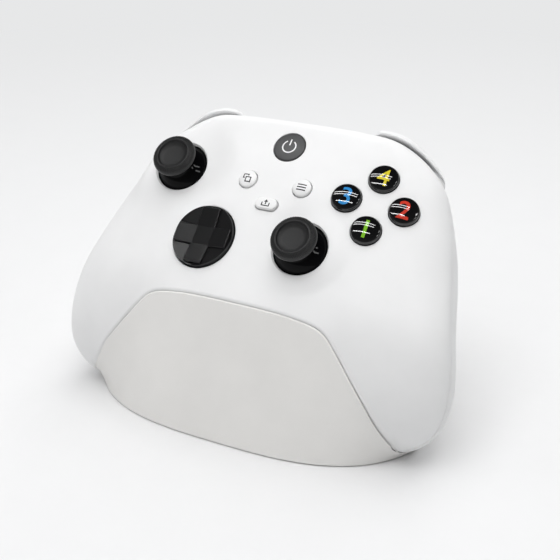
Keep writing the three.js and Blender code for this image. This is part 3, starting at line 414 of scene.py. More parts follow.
def catmull_rom(a, b, c, d, t):
    """The point at share t between b and c on a curve that also heeds a and d."""
    return 0.5 * (2 * b + (c - a) * t + (2 * a - 5 * b + 4 * c - d) * t * t
                  + (3 * b - a - 3 * c + d) * t**3)


def smooth_line(points, steps=24):
    """Catmull-Rom through the half outline, its ends mirrored."""
    p = np.array(points, float)
    p = np.vstack([[-p[1][0], p[1][1]], p, [-p[-2][0], p[-2][1]]])
    shares = np.arange(steps) / steps
    out = [catmull_rom(*p[i - 1 : i + 3], t) for i in range(1, len(p) - 2) for t in shares]
    return np.array(out + [p[-2]])


OUTLINE = smooth_line(HALF_OUTLINE)
WIDEST = int(OUTLINE[:, 0].argmax())
LOWEST = int(OUTLINE[:, 1].argmin())
OUTER_EDGE, INNER_EDGE = OUTLINE[: LOWEST + 1], OUTLINE[LOWEST:]
UPPER_EDGE, LOWER_EDGE = OUTLINE[: WIDEST + 1], OUTLINE[WIDEST:][::-1]
print("outline", len(OUTLINE), "points, half width", round(OUTLINE[WIDEST][0], 1), "mm")


# %% [markdown]
# ## The controller's surfaces
# The face is a shallow dome. Towards the outline it rolls over a quarter-round edge down to the
# parting line, where the two halves of the shell meet. Under that line a deeper bowl does the same.
# Both are height fields: w as a function of u and v, so any grid over the outline can carry them.

# %% Height fields
PARTING, PART_GAP, WALL, CHIN_ROUND = -7.8, 0.45, 2.0, 2.8
REAR_DEPTH, GRIP_DEPTH, GRIP_BULGE = 20.6, 12.6, 1.9
CURVE_U, CURVE_V, DROOP = 0.00195, 0.00092, 0.0098  # how fast the face falls, per square millimetre
SIDE_ROUND, REAR_ROUND = (5, 10.7), (14.6, -2.9)  # at the middle, and what the grips add
STICKS = {"left": (-41.3, 15.4), "right": (17.7, -9.3)}
LEVEL_FROM, LEVEL_TO = 11, {"left": 24, "right": 18}  # level round a stick up to here, blended up to there


def read_off(line, x):
    """The second coordinate of a line where its first one is x."""
    return np.interp(x, line[:, 0], line[:, 1])


def ease(x):
    x = np.clip(x, 0, 1)
    return x * x * (3 - 2 * x)


def quarter_round(x):
    return np.sqrt(np.maximum(1 - (1 - np.clip(x, 0, 1)) ** 2, 0))


def near_segment(a, b, u, v):
    """How far along a to b each point lies, and how far off; right half only, the left mirrors it."""
    d = b - a
    t = np.clip(((np.abs(u) - a[0]) * d[0] + (v - a[1]) * d[1]) / max(d @ d, 1e-9), 0, 1)
    return t, np.hypot(np.abs(u) - a[0] - d[0] * t, v - a[1] - d[1] * t)


def distance_to(line, u, v):
    """Distance from each point to an open line."""
    best = np.full(np.shape(u), 1e9)
    for a, b in zip(line[:-1:3], list(line[3::3]) + [line[-1]]):
        best = np.minimum(best, near_segment(a, b, u, v)[1])
    return best


def wing(u):
    return ease((np.abs(u) - 19.5) / 23.5)


def grip_share(u, v):
    return ease((np.abs(u) - 25.5) / 21.5) * ease((-v - 5) / 29)


def face_height(u, v):
    droop = np.maximum(-21.5 - v, 0) ** 2
    return -CURVE_U * u * u - CURVE_V * v * v - DROOP * droop * wing(u)


def parting_height(u, v):
    low = -23.5 - v
    side = ease((np.abs(u) - 29) / 37)
    return PARTING - 8.8 * side - 0.25 * (low + np.sqrt(low * low + 36)) * wing(u)


def front_height(u, v, inset=0):
    low = parting_height(u, v)
    side_round = SIDE_ROUND[0] + SIDE_ROUND[1] * ease((np.abs(u) - 33) / 19.5)
    side = quarter_round((distance_to(OUTER_EDGE, u, v) - inset) / side_round)
    chin = quarter_round((distance_to(INNER_EDGE, u, v) - inset) / CHIN_ROUND)
    w = low + (face_height(u, v) - inset - low) * side * chin
    for side, at in STICKS.items():
        far = np.hypot(u - at[0], v - at[1])
        level = 1 - ease((far - LEVEL_FROM) / (LEVEL_TO[side] - LEVEL_FROM))
        level = level * ease(distance_to(OUTER_EDGE, u, v) / 9)
        w = w + (face_height(*at) - inset - w) * level
    return w


def rear_height(u, v, inset=0):
    share = grip_share(u, v)
    depth = REAR_DEPTH + (GRIP_DEPTH - REAR_DEPTH) * share - inset
    edge = quarter_round((distance_to(OUTLINE, u, v) - inset) / (REAR_ROUND[0] + REAR_ROUND[1] * share))
    return parting_height(u, v) - PART_GAP - depth * edge


def on_surface(height, u, v):
    """Points of a height field over u and v."""
    return np.stack([u, v, height(u, v)], -1)


# %% The swell of the grip covers
def line_normals(line):
    along = np.gradient(line, axis=0)
    along /= np.linalg.norm(along, axis=1)[:, None]
    return np.stack([-along[:, 1], along[:, 0]], 1)


def swollen(points):
    """Rear points moved out where the grip covers swell past the outline, most halfway down."""
    u, v, w = np.moveaxis(points, -1, 0)
    deep = REAR_DEPTH + (GRIP_DEPTH - REAR_DEPTH) * grip_share(u, v)
    share = np.clip((parting_height(u, v) - PART_GAP - w) / deep, 0, 1)
    edge, normals = OUTER_EDGE[::3], line_normals(OUTER_EDGE)[::3]
    gap, out = np.full(u.shape, 1e9), np.zeros(u.shape + (2,))
    for a, b, at_a, at_b in zip(edge, edge[1:], normals, normals[1:]):
        t, far = near_segment(a, b, u, v)
        near = far < gap
        gap[near] = far[near]
        out[near] = (at_a + (at_b - at_a) * t[..., None])[near]
    where = ease((32 - v) / 34) * ease((v + 59) / 22) * ease(1.4 - gap / 10)
    by = GRIP_BULGE * where * 4 * share * (1 - share)
    return np.stack([u + np.sign(u) * out[..., 0] * by, v + out[..., 1] * by, w], -1)


# %% A shell from a height field
def offset_line(line, by):
    out = line + line_normals(line) * by
    out[0, 0], out[-1, 0] = 0, 0
    return out


def spread(count):
    """Shares from 0 to 1, closer together at both ends."""
    return (1 - np.cos(np.pi * np.arange(count + 1) / count)) / 2


def surface_grid(height, inset, columns, rows):
    line = offset_line(OUTLINE, -inset)
    u = line[WIDEST][0] * (2 * spread(columns) - 1)
    low, high = [read_off(edge, np.abs(u)) for edge in (line[WIDEST:][::-1], line[: WIDEST + 1])]
    high[[0, -1]] = low[[0, -1]] = line[WIDEST][1]
    share = spread(rows)
    uu = np.repeat(u[:, None], rows + 1, 1)
    vv = low[:, None] * (1 - share) + high[:, None] * share
    ww = height(uu, vv, inset)
    rim = np.zeros(uu.shape, bool)
    rim[[0, -1], :] = rim[:, [0, -1]] = True
    ww[rim] = parting_height(uu[rim], vv[rim]) - (PART_GAP if height is rear_height else 0)
    grid = np.stack([uu, vv, ww], -1)
    return swollen(grid) if height is rear_height else grid


def shell(name, height, material, columns=210, rows=140):
    """Outer and inner surface joined round the rim."""
    outer = surface_grid(height, 0, columns, rows)
    inner = surface_grid(height, WALL, columns, rows)
    size = (columns + 1) * (rows + 1)
    index = np.arange(size).reshape(columns + 1, rows + 1)
    a, b, c, d = index[:-1, :-1], index[1:, :-1], index[1:, 1:], index[:-1, 1:]
    skin = np.stack([a, b, c, d], -1).reshape(-1, 4)
    back = np.stack([d, c, b, a], -1).reshape(-1, 4) + size
    faces = [*skin.tolist(), *back.tolist()]
    for side in (0, rows):
        for i in range(columns):
            p, q = index[i, side], index[i + 1, side]
            faces.append((p, q, q + size, p + size))
    points = np.concatenate([outer.reshape(-1, 3), inner.reshape(-1, 3)])
    return tidy(make_mesh(name, points, faces, material, FACE))


# %% [markdown]
# ## Controls stand on the face
# Every key and the direction pad stands along the face's own normal at its place. The thumb sticks are
# soldered to the board, so they stand square to that instead, and the shell is level round them. One
# matrix per control carries it there, and the same matrix carries the cutter that makes its opening.

# %% Places of the controls
def on_face(u, v):
    step = 0.5
    du = (face_height(u + step, v) - face_height(u - step, v)) / (2 * step)
    dv = (face_height(u, v + step) - face_height(u, v - step)) / (2 * step)
    out = Vector((-du, -dv, 1)).normalized()
    turn = Vector((0, 0, 1)).rotation_difference(out).to_matrix().to_4x4()
    return FACE @ moved(u, v, face_height(u, v)) @ turn


def upright(u, v):
    return FACE @ moved(u, v, face_height(u, v))


DPAD = (-19.5, -12.0)
FACE_KEYS = {"top": (37.9, 23.35), "right": (48.25, 13.0), "bottom": (37.9, 2.65), "left": (27.55, 13.0)}
SMALL_KEYS = {"view_button": (-10.8, 13.1), "menu_button": (10.8, 13.1)}
HOME, SHARE = (0, 28.9), (0, 4.4)
STICK_HOLE_R, DPAD_R, FACE_KEY_R, HOME_R, SMALL_KEY_R = 9.9, 11.9, 5.35, 5.95, 3.45
PIVOT, DOME_R = -8.3, 12.0  # a stick's dome is part of a ball round its pivot
SHARE_HALF, SHARE_R, KEY_GAP = 2.1, 2.2, 0.25
print("keys:", len(FACE_KEYS) + len(SMALL_KEYS) + 2)


# %% Openings in the front shell
def hole(name, radius, at, edge=0.3, sink=0.0):
    """A cutter whose mouth flares like a rounded edge; sink lowers the flare."""
    flare = [(radius + away, along - edge - sink) for along, away in quarter(edge, 7)]
    return turned(name, [(0, -9), (radius, -9), *flare, (radius + edge, 5), (0, 5)], SHELL, at, 72)


def pill(half, radius, z, sides=48):
    """A stadium outline: two half circles joined by straight sides."""
    angles = [2 * math.pi * (k + 0.5) / sides for k in range(sides)]
    return [(radius * math.cos(a) + math.copysign(half, math.cos(a)), radius * math.sin(a), z)
            for a in angles]


def share_hole(at):
    flare = [(along - 0.25, KEY_GAP + away) for along, away in quarter(0.25, 5)]
    layers = [(-9, KEY_GAP), *flare, (5, KEY_GAP + 0.25)]
    return lofted("share_hole", [pill(SHARE_HALF, SHARE_R + g, z) for z, g in layers], SHELL, at)


def stick_hole(at):
    """A mouth for the cap's neck, opening downwards into a ball with room for the dome."""
    room = DOME_R + 0.4
    relief = [(math.sqrt(room**2 - (z - PIVOT) ** 2), z) for z in np.linspace(-6, -0.9, 6)]
    mouth = rounded([relief[-1], (STICK_HOLE_R, -0.8), (10.5, 0.0), (10.5, 5)], 0.25)
    return turned("stick_hole", [(0, -6), *relief, *mouth[1:], (0, 5)], SHELL, at, 96)


front = boolean(
    shell("front_shell_skin", front_height, SHELL), "DIFFERENCE",
    hole("dpad_hole", DPAD_R + 0.4, on_face(*DPAD), 0.35, 0.2),
    hole("home_hole", HOME_R + KEY_GAP, on_face(*HOME), 0.2, 0.03), share_hole(on_face(*SHARE)),
    *[hole("key_hole", FACE_KEY_R + KEY_GAP, on_face(*p), 0.2, 0.03) for p in FACE_KEYS.values()],
    *[hole("key_hole", SMALL_KEY_R + KEY_GAP, on_face(*p), 0.25) for p in SMALL_KEYS.values()],
    *[stick_hole(upright(*p)) for p in STICKS.values()])
done(front, "controller", "shell_white", "front_shell")

# %% [markdown]
# ## The back of the controller
# On the real one the bowl behind the parting line is three pieces: the middle chassis and the two
# grip covers, which meet it at a straight joint. One bowl is made and cut three times. The middle one
# also gets the openings for the battery cover, the plugs and the pairing key, and all of them lose
# what the triggers sweep.

# %% Cutters for the back
SHOULDER_AT, SHOULDER_TURN, TRIGGER_HALF = (39.5, 40.6), math.radians(-24), 10.4
PAIR_U, PAIR_W, PLUG_W, JACK_W = 16, -12, -13.1, -14.5
JOINT_U, JOINT_GAP = 41.8, 0.15  # where the grip covers meet the chassis


def shoulder(side):
    u, v = SHOULDER_AT
    return FACE @ moved(side * u, v) @ Matrix.Rotation(side * SHOULDER_TURN, 4, "Z")


def trigger_pocket(side):
    reach = TRIGGER_HALF + 0.8
    return block("trigger_pocket", (-reach, -6.4, -60), (reach, 25, -15), SHELL, shoulder(side))


def along_v(at):
    """Turns a part made along +Z to point out of the controller's top edge."""
    return FACE @ moved(*at) @ Matrix.Rotation(-math.pi / 2, 4, "X")


def slot_cutter():
    return lofted("plug_cutter", [pill(3.0, 1.75, z, 32) for z in (30, 60)], SHELL,
                  along_v((0, 0, PLUG_W)))


def round_cutter(radius, at, long=20):
    return rod("round_cutter", radius, -long / 2, long / 2, SHELL, along_v(at), 40)


def hatch_block(name, gap=0):
    return block(name, (gap - 27, gap - 22, -60), (27 - gap, 18 - gap, -20), SHELL, FACE)


# %% Chassis and grip covers
bowl = boolean(shell("bowl", rear_height, SHELL, 170, 110), "DIFFERENCE",
               trigger_pocket(-1), trigger_pocket(1))
chassis = boolean(placed("rear_chassis_skin", bowl.data.copy()), "INTERSECT",
                  block("middle", (-JOINT_U, -80, -80), (JOINT_U, 80, 20), SHELL, FACE))
boolean(chassis, "DIFFERENCE", hatch_block("hatch_hole"), slot_cutter(),
        round_cutter(1.9, (PAIR_U, 48, PAIR_W)), round_cutter(3.4, (0, -36, JACK_W), 12))
done(chassis, "controller", "shell_white", "rear_chassis")
for name, side in SIDES.items():
    low_u, high_u = sorted((side * (JOINT_U + JOINT_GAP), side * 90))
    half = boolean(placed(name + "_grip_skin", bowl.data.copy()), "INTERSECT",
                   block("half", (low_u, -80, -80), (high_u, 80, 20), SHELL, FACE))
    done(half, "controller", "shell_white", name + "_grip_cover")


# %% The battery cover
PIN_U, PIN_V, CONTACT_W, BLOCK_W = 8, -4, -28.1, -30.4


def contact_slot(side, grow=0.3):
    u = side * PIN_U
    return block("contact_slot", (u - 3 - grow, -9 - grow, -40), (u + 3 + grow, 1 + grow, CONTACT_W + grow),
                 SHELL, FACE)


hatch = boolean(bowl, "INTERSECT", hatch_block("hatch", 0.3))
hatch.name = "battery_cover_skin"
boolean(hatch, "DIFFERENCE", contact_slot(-1), contact_slot(1))
done(hatch, "controller", "shell_white", "battery_cover")

# %% [markdown]
# ## Bridge, bumpers and triggers
# Along the top edge runs a band in three lengths: the fixed bridge in the middle and a bumper at each
# shoulder. All three are one rounded section carried along the outline. Under each bumper hangs a
# trigger, whose section is a claw that gets slimmer away from the middle.

# %% The band along the top edge
BAND_FLOOR, BRIDGE_HALF, BUMPER_TO, BAND_STEP = -17.8, 26.0, 54.0, 0.8


def band(name, start, end, side, gap, out, rise):
    """gap, out and rise give the section's inner and outer distance and its top, at |u|."""
    steps = int(abs(end - start) / BAND_STEP)
    rings = []
    for k in range(steps + 1):
        u = start + (end - start) * k / steps
        v = read_off(UPPER_EDGE, abs(u))
        slope = read_off(UPPER_EDGE, abs(u) + 1) - read_off(UPPER_EDGE, max(abs(u) - 1, 0))
        away = Vector((-slope * (1 if u > 0 else -1), 2)).normalized()
        top = float(parting_height(u, v)) + rise(abs(u))
        inner, outer = gap(abs(u)), out(abs(u))
        outer -= 0.35 * (side != 0) * (k in (0, steps))  # a bumper's ends are drawn in a little
        section = rounded([(inner, BAND_FLOOR), (inner, top - 1), (inner, top), (inner + 0.4, top + 0.3),
                           (outer, top - 0.3), (outer, BAND_FLOOR), (inner, BAND_FLOOR)],
                          [0, 0, 0.3, 0.5, 1.3, 0.7, 0], 6)[:-1]
        rings.append([((side or 1) * (u + away.x * d), v + away.y * d, w) for d, w in section])
    return lofted(name, rings, SHELL, FACE, 50)


bridge = band("bridge_skin", -BRIDGE_HALF, BRIDGE_HALF, 0, lambda u: 0.4, lambda u: 1.6, lambda u: -1.2)
boolean(bridge, "DIFFERENCE", slot_cutter(), round_cutter(1.9, (PAIR_U, 48, PAIR_W)), sharp=50)
done(bridge, "controller", "shell_white", "top_bridge")


# %% The bumpers
def bumper_share(u):
    return (u - BRIDGE_HALF) / (BUMPER_TO - BRIDGE_HALF)


def bumper_out(u):
    share = bumper_share(u)
    body = 2.3 + 0.6 * ease(2 * share) - 1.0 * ease(2 * share - 1)
    return float(1.7 + (body - 1.7) * ease((u - BRIDGE_HALF) / 3.5))


def bumper_rise(u):
    body = 1.7 + 0.8 * ease(3 * bumper_share(u)) - 2.2 * ease(2 * bumper_share(u) - 1)
    return float(-1.0 + (body + 1.0) * ease((u - BRIDGE_HALF) / 4))


for name, side in SIDES.items():
    strip = band(name + "_bumper_skin", BRIDGE_HALF + 0.3, BUMPER_TO, side,
                 lambda u: 0.4 + 0.8 * bumper_share(u), bumper_out, bumper_rise)
    arm = block("arm", (-9, -4.6, -17.4), (9, 1.4, -16), SHELL, shoulder(side))
    done(boolean(strip, "UNION", arm, sharp=50), name + "_bumper", "shell_white", name + "_bumper")


# %% The triggers
TRIGGER_SECTION = [
    (-1.0, -19.2), (2.4, -19.8), (4.9, -22.4), (6.6, -26.5), (7.3, -31.0), (6.9, -35.5), (5.4, -38.2),
    (3.4, -38.0), (0.8, -34.6), (-2.0, -30.4), (-4.4, -27.0), (-5.6, -24.0), (-5.6, -21.4), (-4.0, -19.4),
]


def closed_curve(points, steps=5):
    """Catmull-Rom round a closed loop."""
    p = [Vector(q) for q in points]
    fours = [(p[i - 1], p[i], p[(i + 1) % len(p)], p[(i + 2) % len(p)]) for i in range(len(p))]
    return [catmull_rom(*four, k / steps) for four in fours for k in range(steps)]


def trigger(name, side):
    middle = Vector((1.0, -29))
    rings = []
    for s in np.linspace(-1, 1, 49):
        x = TRIGGER_HALF * math.sin(s * math.pi / 2)
        edge = TRIGGER_HALF - abs(x)
        shrink = 0.10 * (1 - float(quarter_round(edge / 1.6)))
        taper = (0.5 + x / (2 * TRIGGER_HALF)) ** 2
        ring = []
        for y, w in closed_curve(TRIGGER_SECTION):
            y = y * (1 - 0.36 * taper) if y > 0 else y
            w = w + 0.2 * taper * max(-24 - w, 0)
            at = Vector((y, w)).lerp(middle, shrink)
            ring.append((side * x, at.x, at.y))
        rings.append(ring)
    claw = lofted(name + "_trigger_skin", rings, SHELL, shoulder(side), 60)
    bore = rod("bore", 1.4, -20, 20, SHELL,
               shoulder(side) @ moved(0, -2.6, -21.6) @ Matrix.Rotation(math.pi / 2, 4, "Y"))
    return boolean(claw, "DIFFERENCE", bore, sharp=50)


for name, side in SIDES.items():
    done(trigger(name, side), name + "_trigger", "shell_white", name + "_trigger")


# %% [markdown]
# ## Thumb sticks
# A stick is two mouldings: a soft dark cap with a dished top and a knurled shoulder, and under it a
# glossy dome that fills the hole in the shell however the stick leans. Both are turned. The knurl is a
# ring of little bars, which is a job for Geometry Nodes: points on a circle, one bar on each, every
# copy realized at the end so that the result is an ordinary mesh.

# %% A ring of bars as a node group
def add_input(group, name, kind, value):
    socket = group.interface.new_socket(name, in_out="INPUT", socket_type=kind)
    socket.default_value = value
    return socket.identifier


def new_group(name):
    group = bpy.data.node_groups.new(name, "GeometryNodeTree")
    for way in ("INPUT", "OUTPUT"):
        group.interface.new_socket("Geometry", in_out=way, socket_type="NodeSocketGeometry")
    return group, group.nodes.new("NodeGroupInput"), group.nodes.new("NodeGroupOutput")


def finish_group(group, geometry, end, material):
    """Every tree ends the same way: realize the copies and give them their finish."""
    real = node_in(group, "GeometryNodeRealizeInstances", {0: geometry})
    feed(group, end, {0: node_in(group, "GeometryNodeSetMaterial", {0: real, "Material": material})})


def grown(name, host_mesh, group, values, at=TABLE):
    """Runs a node group on a host mesh and returns the result as a plain mesh object."""
    host = placed(name, host_mesh)
    modifier = host.modifiers.new("grow", "NODES")
    modifier.node_group = group
    for identifier, value in values.items():
        modifier[identifier] = value
    mesh = baked(host)
    bpy.data.objects.remove(host)
    mesh.transform(at)
    mesh.shade_smooth()
    mesh.set_sharp_from_angle(angle=math.radians(40))
    return placed(name, mesh)


def bar_ring_group(material):
    group, start, end = new_group("bar_ring")
    ids = {name: add_input(group, name, kind, value) for name, kind, value in (
        ("Count", "NodeSocketInt", 84), ("Radius", "NodeSocketFloat", 0.0075),
        ("Bar Length", "NodeSocketFloat", 0.0014), ("Bar Width", "NodeSocketFloat", 0.00024),
        ("Slope", "NodeSocketFloat", 0.7))}
    given = start.outputs
    circle = node_in(group, "GeometryNodeMeshCircle",
                     {"Vertices": given["Count"], "Radius": given["Radius"]})
    bar = node_in(group, "GeometryNodeMeshUVSphere", {"Segments": 8, "Rings": 6})
    long, wide = [node_in(group, "ShaderNodeMath", {0: given[name], 1: 0.5}, operation="MULTIPLY")
                  for name in ("Bar Length", "Bar Width")]
    size = node_in(group, "ShaderNodeCombineXYZ", {"X": long, "Y": wide, "Z": wide})
    shaped = node_in(group, "GeometryNodeTransform", {"Geometry": bar, "Scale": size})
    position = node_in(group, "GeometryNodeInputPosition")
    outward = node_in(group, "FunctionNodeAlignRotationToVector", {"Vector": position}, axis="X")
    tip = node_in(group, "ShaderNodeCombineXYZ", {"Y": given["Slope"]})
    tilt = node_in(group, "FunctionNodeRotateRotation", {"Rotation": outward, "Rotate By": tip},
                   rotation_space="LOCAL")
    ring = node_in(group, "GeometryNodeInstanceOnPoints",
                   {"Points": circle, "Instance": shaped, "Rotation": tilt})
    finish_group(group, ring, end, material)
    return group, ids


KNURL, KNURL_INPUTS = bar_ring_group(GRIP_RUBBER)
print("the knurl's inputs:", list(KNURL_INPUTS))

# %% Caps and domes
STICK_TOP, CAP_R, COLLAR = 9.4, 8.3, 4.2


def stick_cap(name, at):
    top = STICK_TOP
    profile = rounded(
        [(0, top - 1.5), (4.2, top - 1.35), (5.5, top - 0.9), (5.75, top - 0.05), (6.3, top),
         (CAP_R - 0.5, top - 0.75), (CAP_R, top - 1.6), (CAP_R, top - 2.7), (7.3, top - 3.8),
         (5.4, COLLAR + 0.4), (3.5, COLLAR + 0.3), (3.3, COLLAR - 0.3), (3.3, 1.6), (1.7, 1.6),
         (1.7, top - 4.1), (0, top - 4.1)],
        [0, 3, 0.5, 0.25, 0.5, 0.8, 0.6, 0.8, 0.8, 0.2, 0, 0, 0, 0, 0, 0])
    return turned(name, profile, GRIP_RUBBER, at, 96, sharp=40)


def stick_dome(name, at):
    outer, inner = [[(r * math.sin(a), PIVOT + r * math.cos(a)) for a in np.radians(np.linspace(*run))]
                    for r, run in ((DOME_R, (72, 31, 18)), (DOME_R - 1.1, (31, 72, 12)))]
    collar = rounded([outer[-1], (5.3, 2.9), (5.1, COLLAR), (3.65, COLLAR), (3.65, 1.9)],
                     [0, 2.0, 0.25, 0, 0])
    return turned(name, [*outer, *collar[1:], *inner], DOME_BLACK, at, 96, ring=True, sharp=40)


for side, place in STICKS.items():
    at = upright(*place)
    body = side + "_stick_cap"
    done(stick_cap(side + "_cap_skin", at), body, "dark_grip", side + "_stick_cap")
    done(stick_dome(side + "_dome_skin", at), body, "gloss_black", side + "_stick_dome")
    empty = bpy.data.meshes.new("empty")
    ribs = grown(side + "_cap_knurl", empty, KNURL, {
        KNURL_INPUTS["Count"]: 84, KNURL_INPUTS["Radius"]: 7.3 * MM,
        KNURL_INPUTS["Bar Length"]: 1.9 * MM, KNURL_INPUTS["Bar Width"]: 0.3 * MM,
        KNURL_INPUTS["Slope"]: math.radians(30)}, at @ moved(0, 0, STICK_TOP - 0.55))
    done(ribs, body, "dark_grip")

# %% [markdown]
# ## The direction pad
# The pad is one glossy moulding: a dish with four flat facets, and a cross standing over it whose arms
# climb a little towards their ends. The dish is a turned disc with a shallow roof shape cut out of
# it. The cross is a few flat faces with a bevel, and flat faces stay flat-shaded so that each one
# shines as a whole.

# %% The dish and the cross
def flat_tops(piece, at, least=1.0):
    """Large faces that look up stay flat-shaded; least is in square millimetres."""
    up = at.to_3x3() @ Vector((0, 0, 1))
    for face in piece.data.polygons:
        if face.area > least * MM * MM and face.normal.dot(up) > 0.9:
            face.use_smooth = False


def dish_cutter(at, low=-0.84, climb=0.19):
    """Four planes that climb from the middle to the corners, closed by a lid."""
    far = 20
    points = [(0, 0, low)]
    for x, y in ((1, 0), (1, 1), (0, 1), (-1, 1), (-1, 0), (-1, -1), (0, -1), (1, -1)):
        points.append((x * far, y * far, low + climb * (abs(x) + abs(y)) * far / math.sqrt(2)))
    points += [(x, y, 12) for x, y, _ in points[1:]]
    faces = [(0, 1 + k, 1 + k + 1, 1 + (k + 2) % 8) for k in range(0, 8, 2)]
    faces += [(1 + k, 9 + k, 9 + (k + 1) % 8, 1 + (k + 1) % 8) for k in range(8)]
    faces.append([16 - k for k in range(8)])
    return tidy(make_mesh("dish_cutter", points, faces, PAD_BLACK, at))


def cross(at, half=3.75, reach=10.9, middle=1.0, tip=1.9, floor=-1.0):
    h, r = half, reach
    ring = [(h, h, middle), (r, h, tip), (r, -h, tip), (h, -h, middle), (h, -r, tip), (-h, -r, tip),
            (-h, -h, middle), (-r, -h, tip), (-r, h, tip), (-h, h, middle), (-h, r, tip), (h, r, tip)]
    points = ring + [(x, y, floor) for x, y, _ in ring]
    tops = [(0, 3, 6, 9), (0, 1, 2, 3), (3, 4, 5, 6), (6, 7, 8, 9), (9, 10, 11, 0)]
    faces = tops + [[12 + i for i in reversed(face)] for face in tops]
    faces += [(i, 12 + i, 12 + (i + 1) % 12, (i + 1) % 12) for i in range(12)]
    return beveled(tidy(make_mesh("cross", points, faces, PAD_BLACK, at)), 0.3)


pad_at = on_face(*DPAD)
pad = turned("dpad_skin", rounded(
    [(0, -4.2), (DPAD_R + 0.8, -4.2), (DPAD_R + 0.8, -3.6), (DPAD_R, -3.6), (DPAD_R, 1.5), (0, 1.5)],
    [0, 0.15, 0.15, 0, 0.45, 0]), PAD_BLACK, pad_at, 128)
boolean(pad, "DIFFERENCE", dish_cutter(pad_at))
boolean(pad, "UNION", cross(pad_at))
flat_tops(pad, pad_at)
done(pad, "dpad_cap", "gloss_black", "dpad_cap")

# %% [markdown]
# ## Keys with marks
# Each key is turned with a domed top. A mark on it is a thin inlay that follows the dome: the flat
# sign is pulled up through the dome as a solid, and only what lies inside a thin copy of the dome's
# skin is kept. The four main keys carry plain coloured numbers.

# %% Inlays
def dome_of(top, drop, radius):
    """Height of a shallow dome at distance r from its axis."""
    return lambda r: top - drop * (r / radius) ** 2


def inlay(name, sign, dome, reach, material, at, proud=0.02):
    """The part of an upright sign that lies in a thin skin over the dome."""
    steps = np.linspace(0, reach, 12)
    skin = [(r, dome(r) + proud) for r in steps] + [(r, dome(r) - 0.2) for r in steps[::-1]]
    lens = turned("lens", skin, material, at, 96)
    sign.data.materials.clear()
    sign.data.materials.append(material)
    mark = boolean(sign, "INTERSECT", lens, sharp=30)
    mark.name = name
    return mark


def slabs(rectangles, at, low=-2, high=6):
    """Upright bars over rectangles given as x0, y0, x1, y1; bars that cross are joined."""
    bars = [block("bar", (x0, y0, low), (x1, y1, high), SHELL, at) for x0, y0, x1, y1 in rectangles]
    return boolean(bars[0], "UNION", *bars[1:]) if len(bars) > 1 else bars[0]


def numeral(text, size, bolder, at):
    """A number as an upright solid, centred on its own box, its strokes let out by bolder."""
    words = bpy.data.curves.new("numeral", "FONT")
    words.body, words.size, words.extrude, words.offset = text, size * MM, 4 * MM, bolder * MM
    thing = placed("numeral", words)
    mesh = baked(thing)
    bpy.data.objects.remove(thing)
    xs, ys = [v.co.x for v in mesh.vertices], [v.co.y for v in mesh.vertices]
    mesh.transform(at @ Matrix.Translation((-(min(xs) + max(xs)) / 2, -(min(ys) + max(ys)) / 2, 0)))
    return tidy(placed("numeral", mesh))


# %% The four main keys
def key_profile(radius, flange, shoulder_z, dome, rim):
    """Profile of a key: a flange under the shell, a straight wall, a rounded rim and a dome."""
    profile = [(0, flange - 0.8), (radius + 0.8, flange - 0.8), (radius + 0.8, flange),
               (radius, flange), (radius, shoulder_z), (radius - rim, dome(radius - rim))]
    profile = rounded(profile + [(radius - rim - 0.6, dome(radius - rim - 0.6))],
                      [0, 0.1, 0.1, 0, rim, rim * 0.8, 0])
    inner = radius - rim - 0.6
    return profile + [(r, dome(r)) for r in np.linspace(inner, 0, 12)[1:]]


INKS = {name: finish("ink_" + name, colour, 0.1, grain=0.1, depth=0.0000004, coat=1.0)
        for name, colour in (("yellow", (0.72, 0.60, 0.03)), ("red", (0.60, 0.04, 0.02)),
                             ("green", (0.20, 0.50, 0.02)), ("blue", (0.03, 0.26, 0.62)))}
KEY_MARKS = {"top": ("4", 0, "yellow"), "right": ("2", 0.12, "red"),
             "bottom": ("1", 0.12, "green"), "left": ("3", 0.08, "blue")}
key_dome = dome_of(2.1, 0.62, FACE_KEY_R - 0.45)
for side, place in FACE_KEYS.items():
    at, body = on_face(*place), "face_button_" + side
    text, bolder, ink = KEY_MARKS[side]
    cap = turned(body + "_skin", key_profile(FACE_KEY_R, -3.9, 0.9, key_dome, 0.45), GLOSS, at, 96)
    done(cap, body, "gloss_black", body)
    sign = numeral(text, 9.6, bolder, at)
    done(inlay(body + "_mark", sign, key_dome, 4.7, INKS[ink], at), body, "gloss_black")

# %% The two small round keys
ICONS = {
    "view_button": [(-1.8, -0.2, -1.38, 1.7), (-1.8, 1.28, 0.5, 1.7), (0.08, 0.95, 0.5, 1.7),
                    (-1.8, -0.2, -1.0, 0.22), (-0.65, -1.65, -0.23, 0.62), (-0.65, 0.2, 1.65, 0.62),
                    (1.23, -1.65, 1.65, 0.62), (-0.65, -1.65, 1.65, -1.23)],
    "menu_button": [(-1.7, y - 0.23, 1.7, y + 0.23) for y in (-1.05, 0, 1.05)],
}
small_dome = dome_of(1.3, 0.45, SMALL_KEY_R - 0.4)
for name, place in SMALL_KEYS.items():
    at = on_face(*place)
    cap = turned(name + "_skin", key_profile(SMALL_KEY_R, -2.7, 0.55, small_dome, 0.4), KEY_WHITE, at, 80)
    done(cap, name, "shell_white", name)
    mark = inlay(name + "_mark", slabs(ICONS[name], at), small_dome, 2.5, ICON_GREY, at, 0.012)
    done(mark, name, "home_grey")

# %% The home key
def arc(inner, outer, gap, at, low=-2, high=6, steps=60):
    """An upright ring with an opening at the top; gap is the opening's angle in degrees."""
    rings = []
    for k in range(steps + 1):
        a = math.radians(90 + gap / 2 + (360 - gap) * k / steps)
        c, s = math.cos(a), math.sin(a)
        rings.append([(inner * c, inner * s, low), (outer * c, outer * s, low),
                      (outer * c, outer * s, high), (inner * c, inner * s, high)])
    return lofted("arc", rings, SHELL, at)


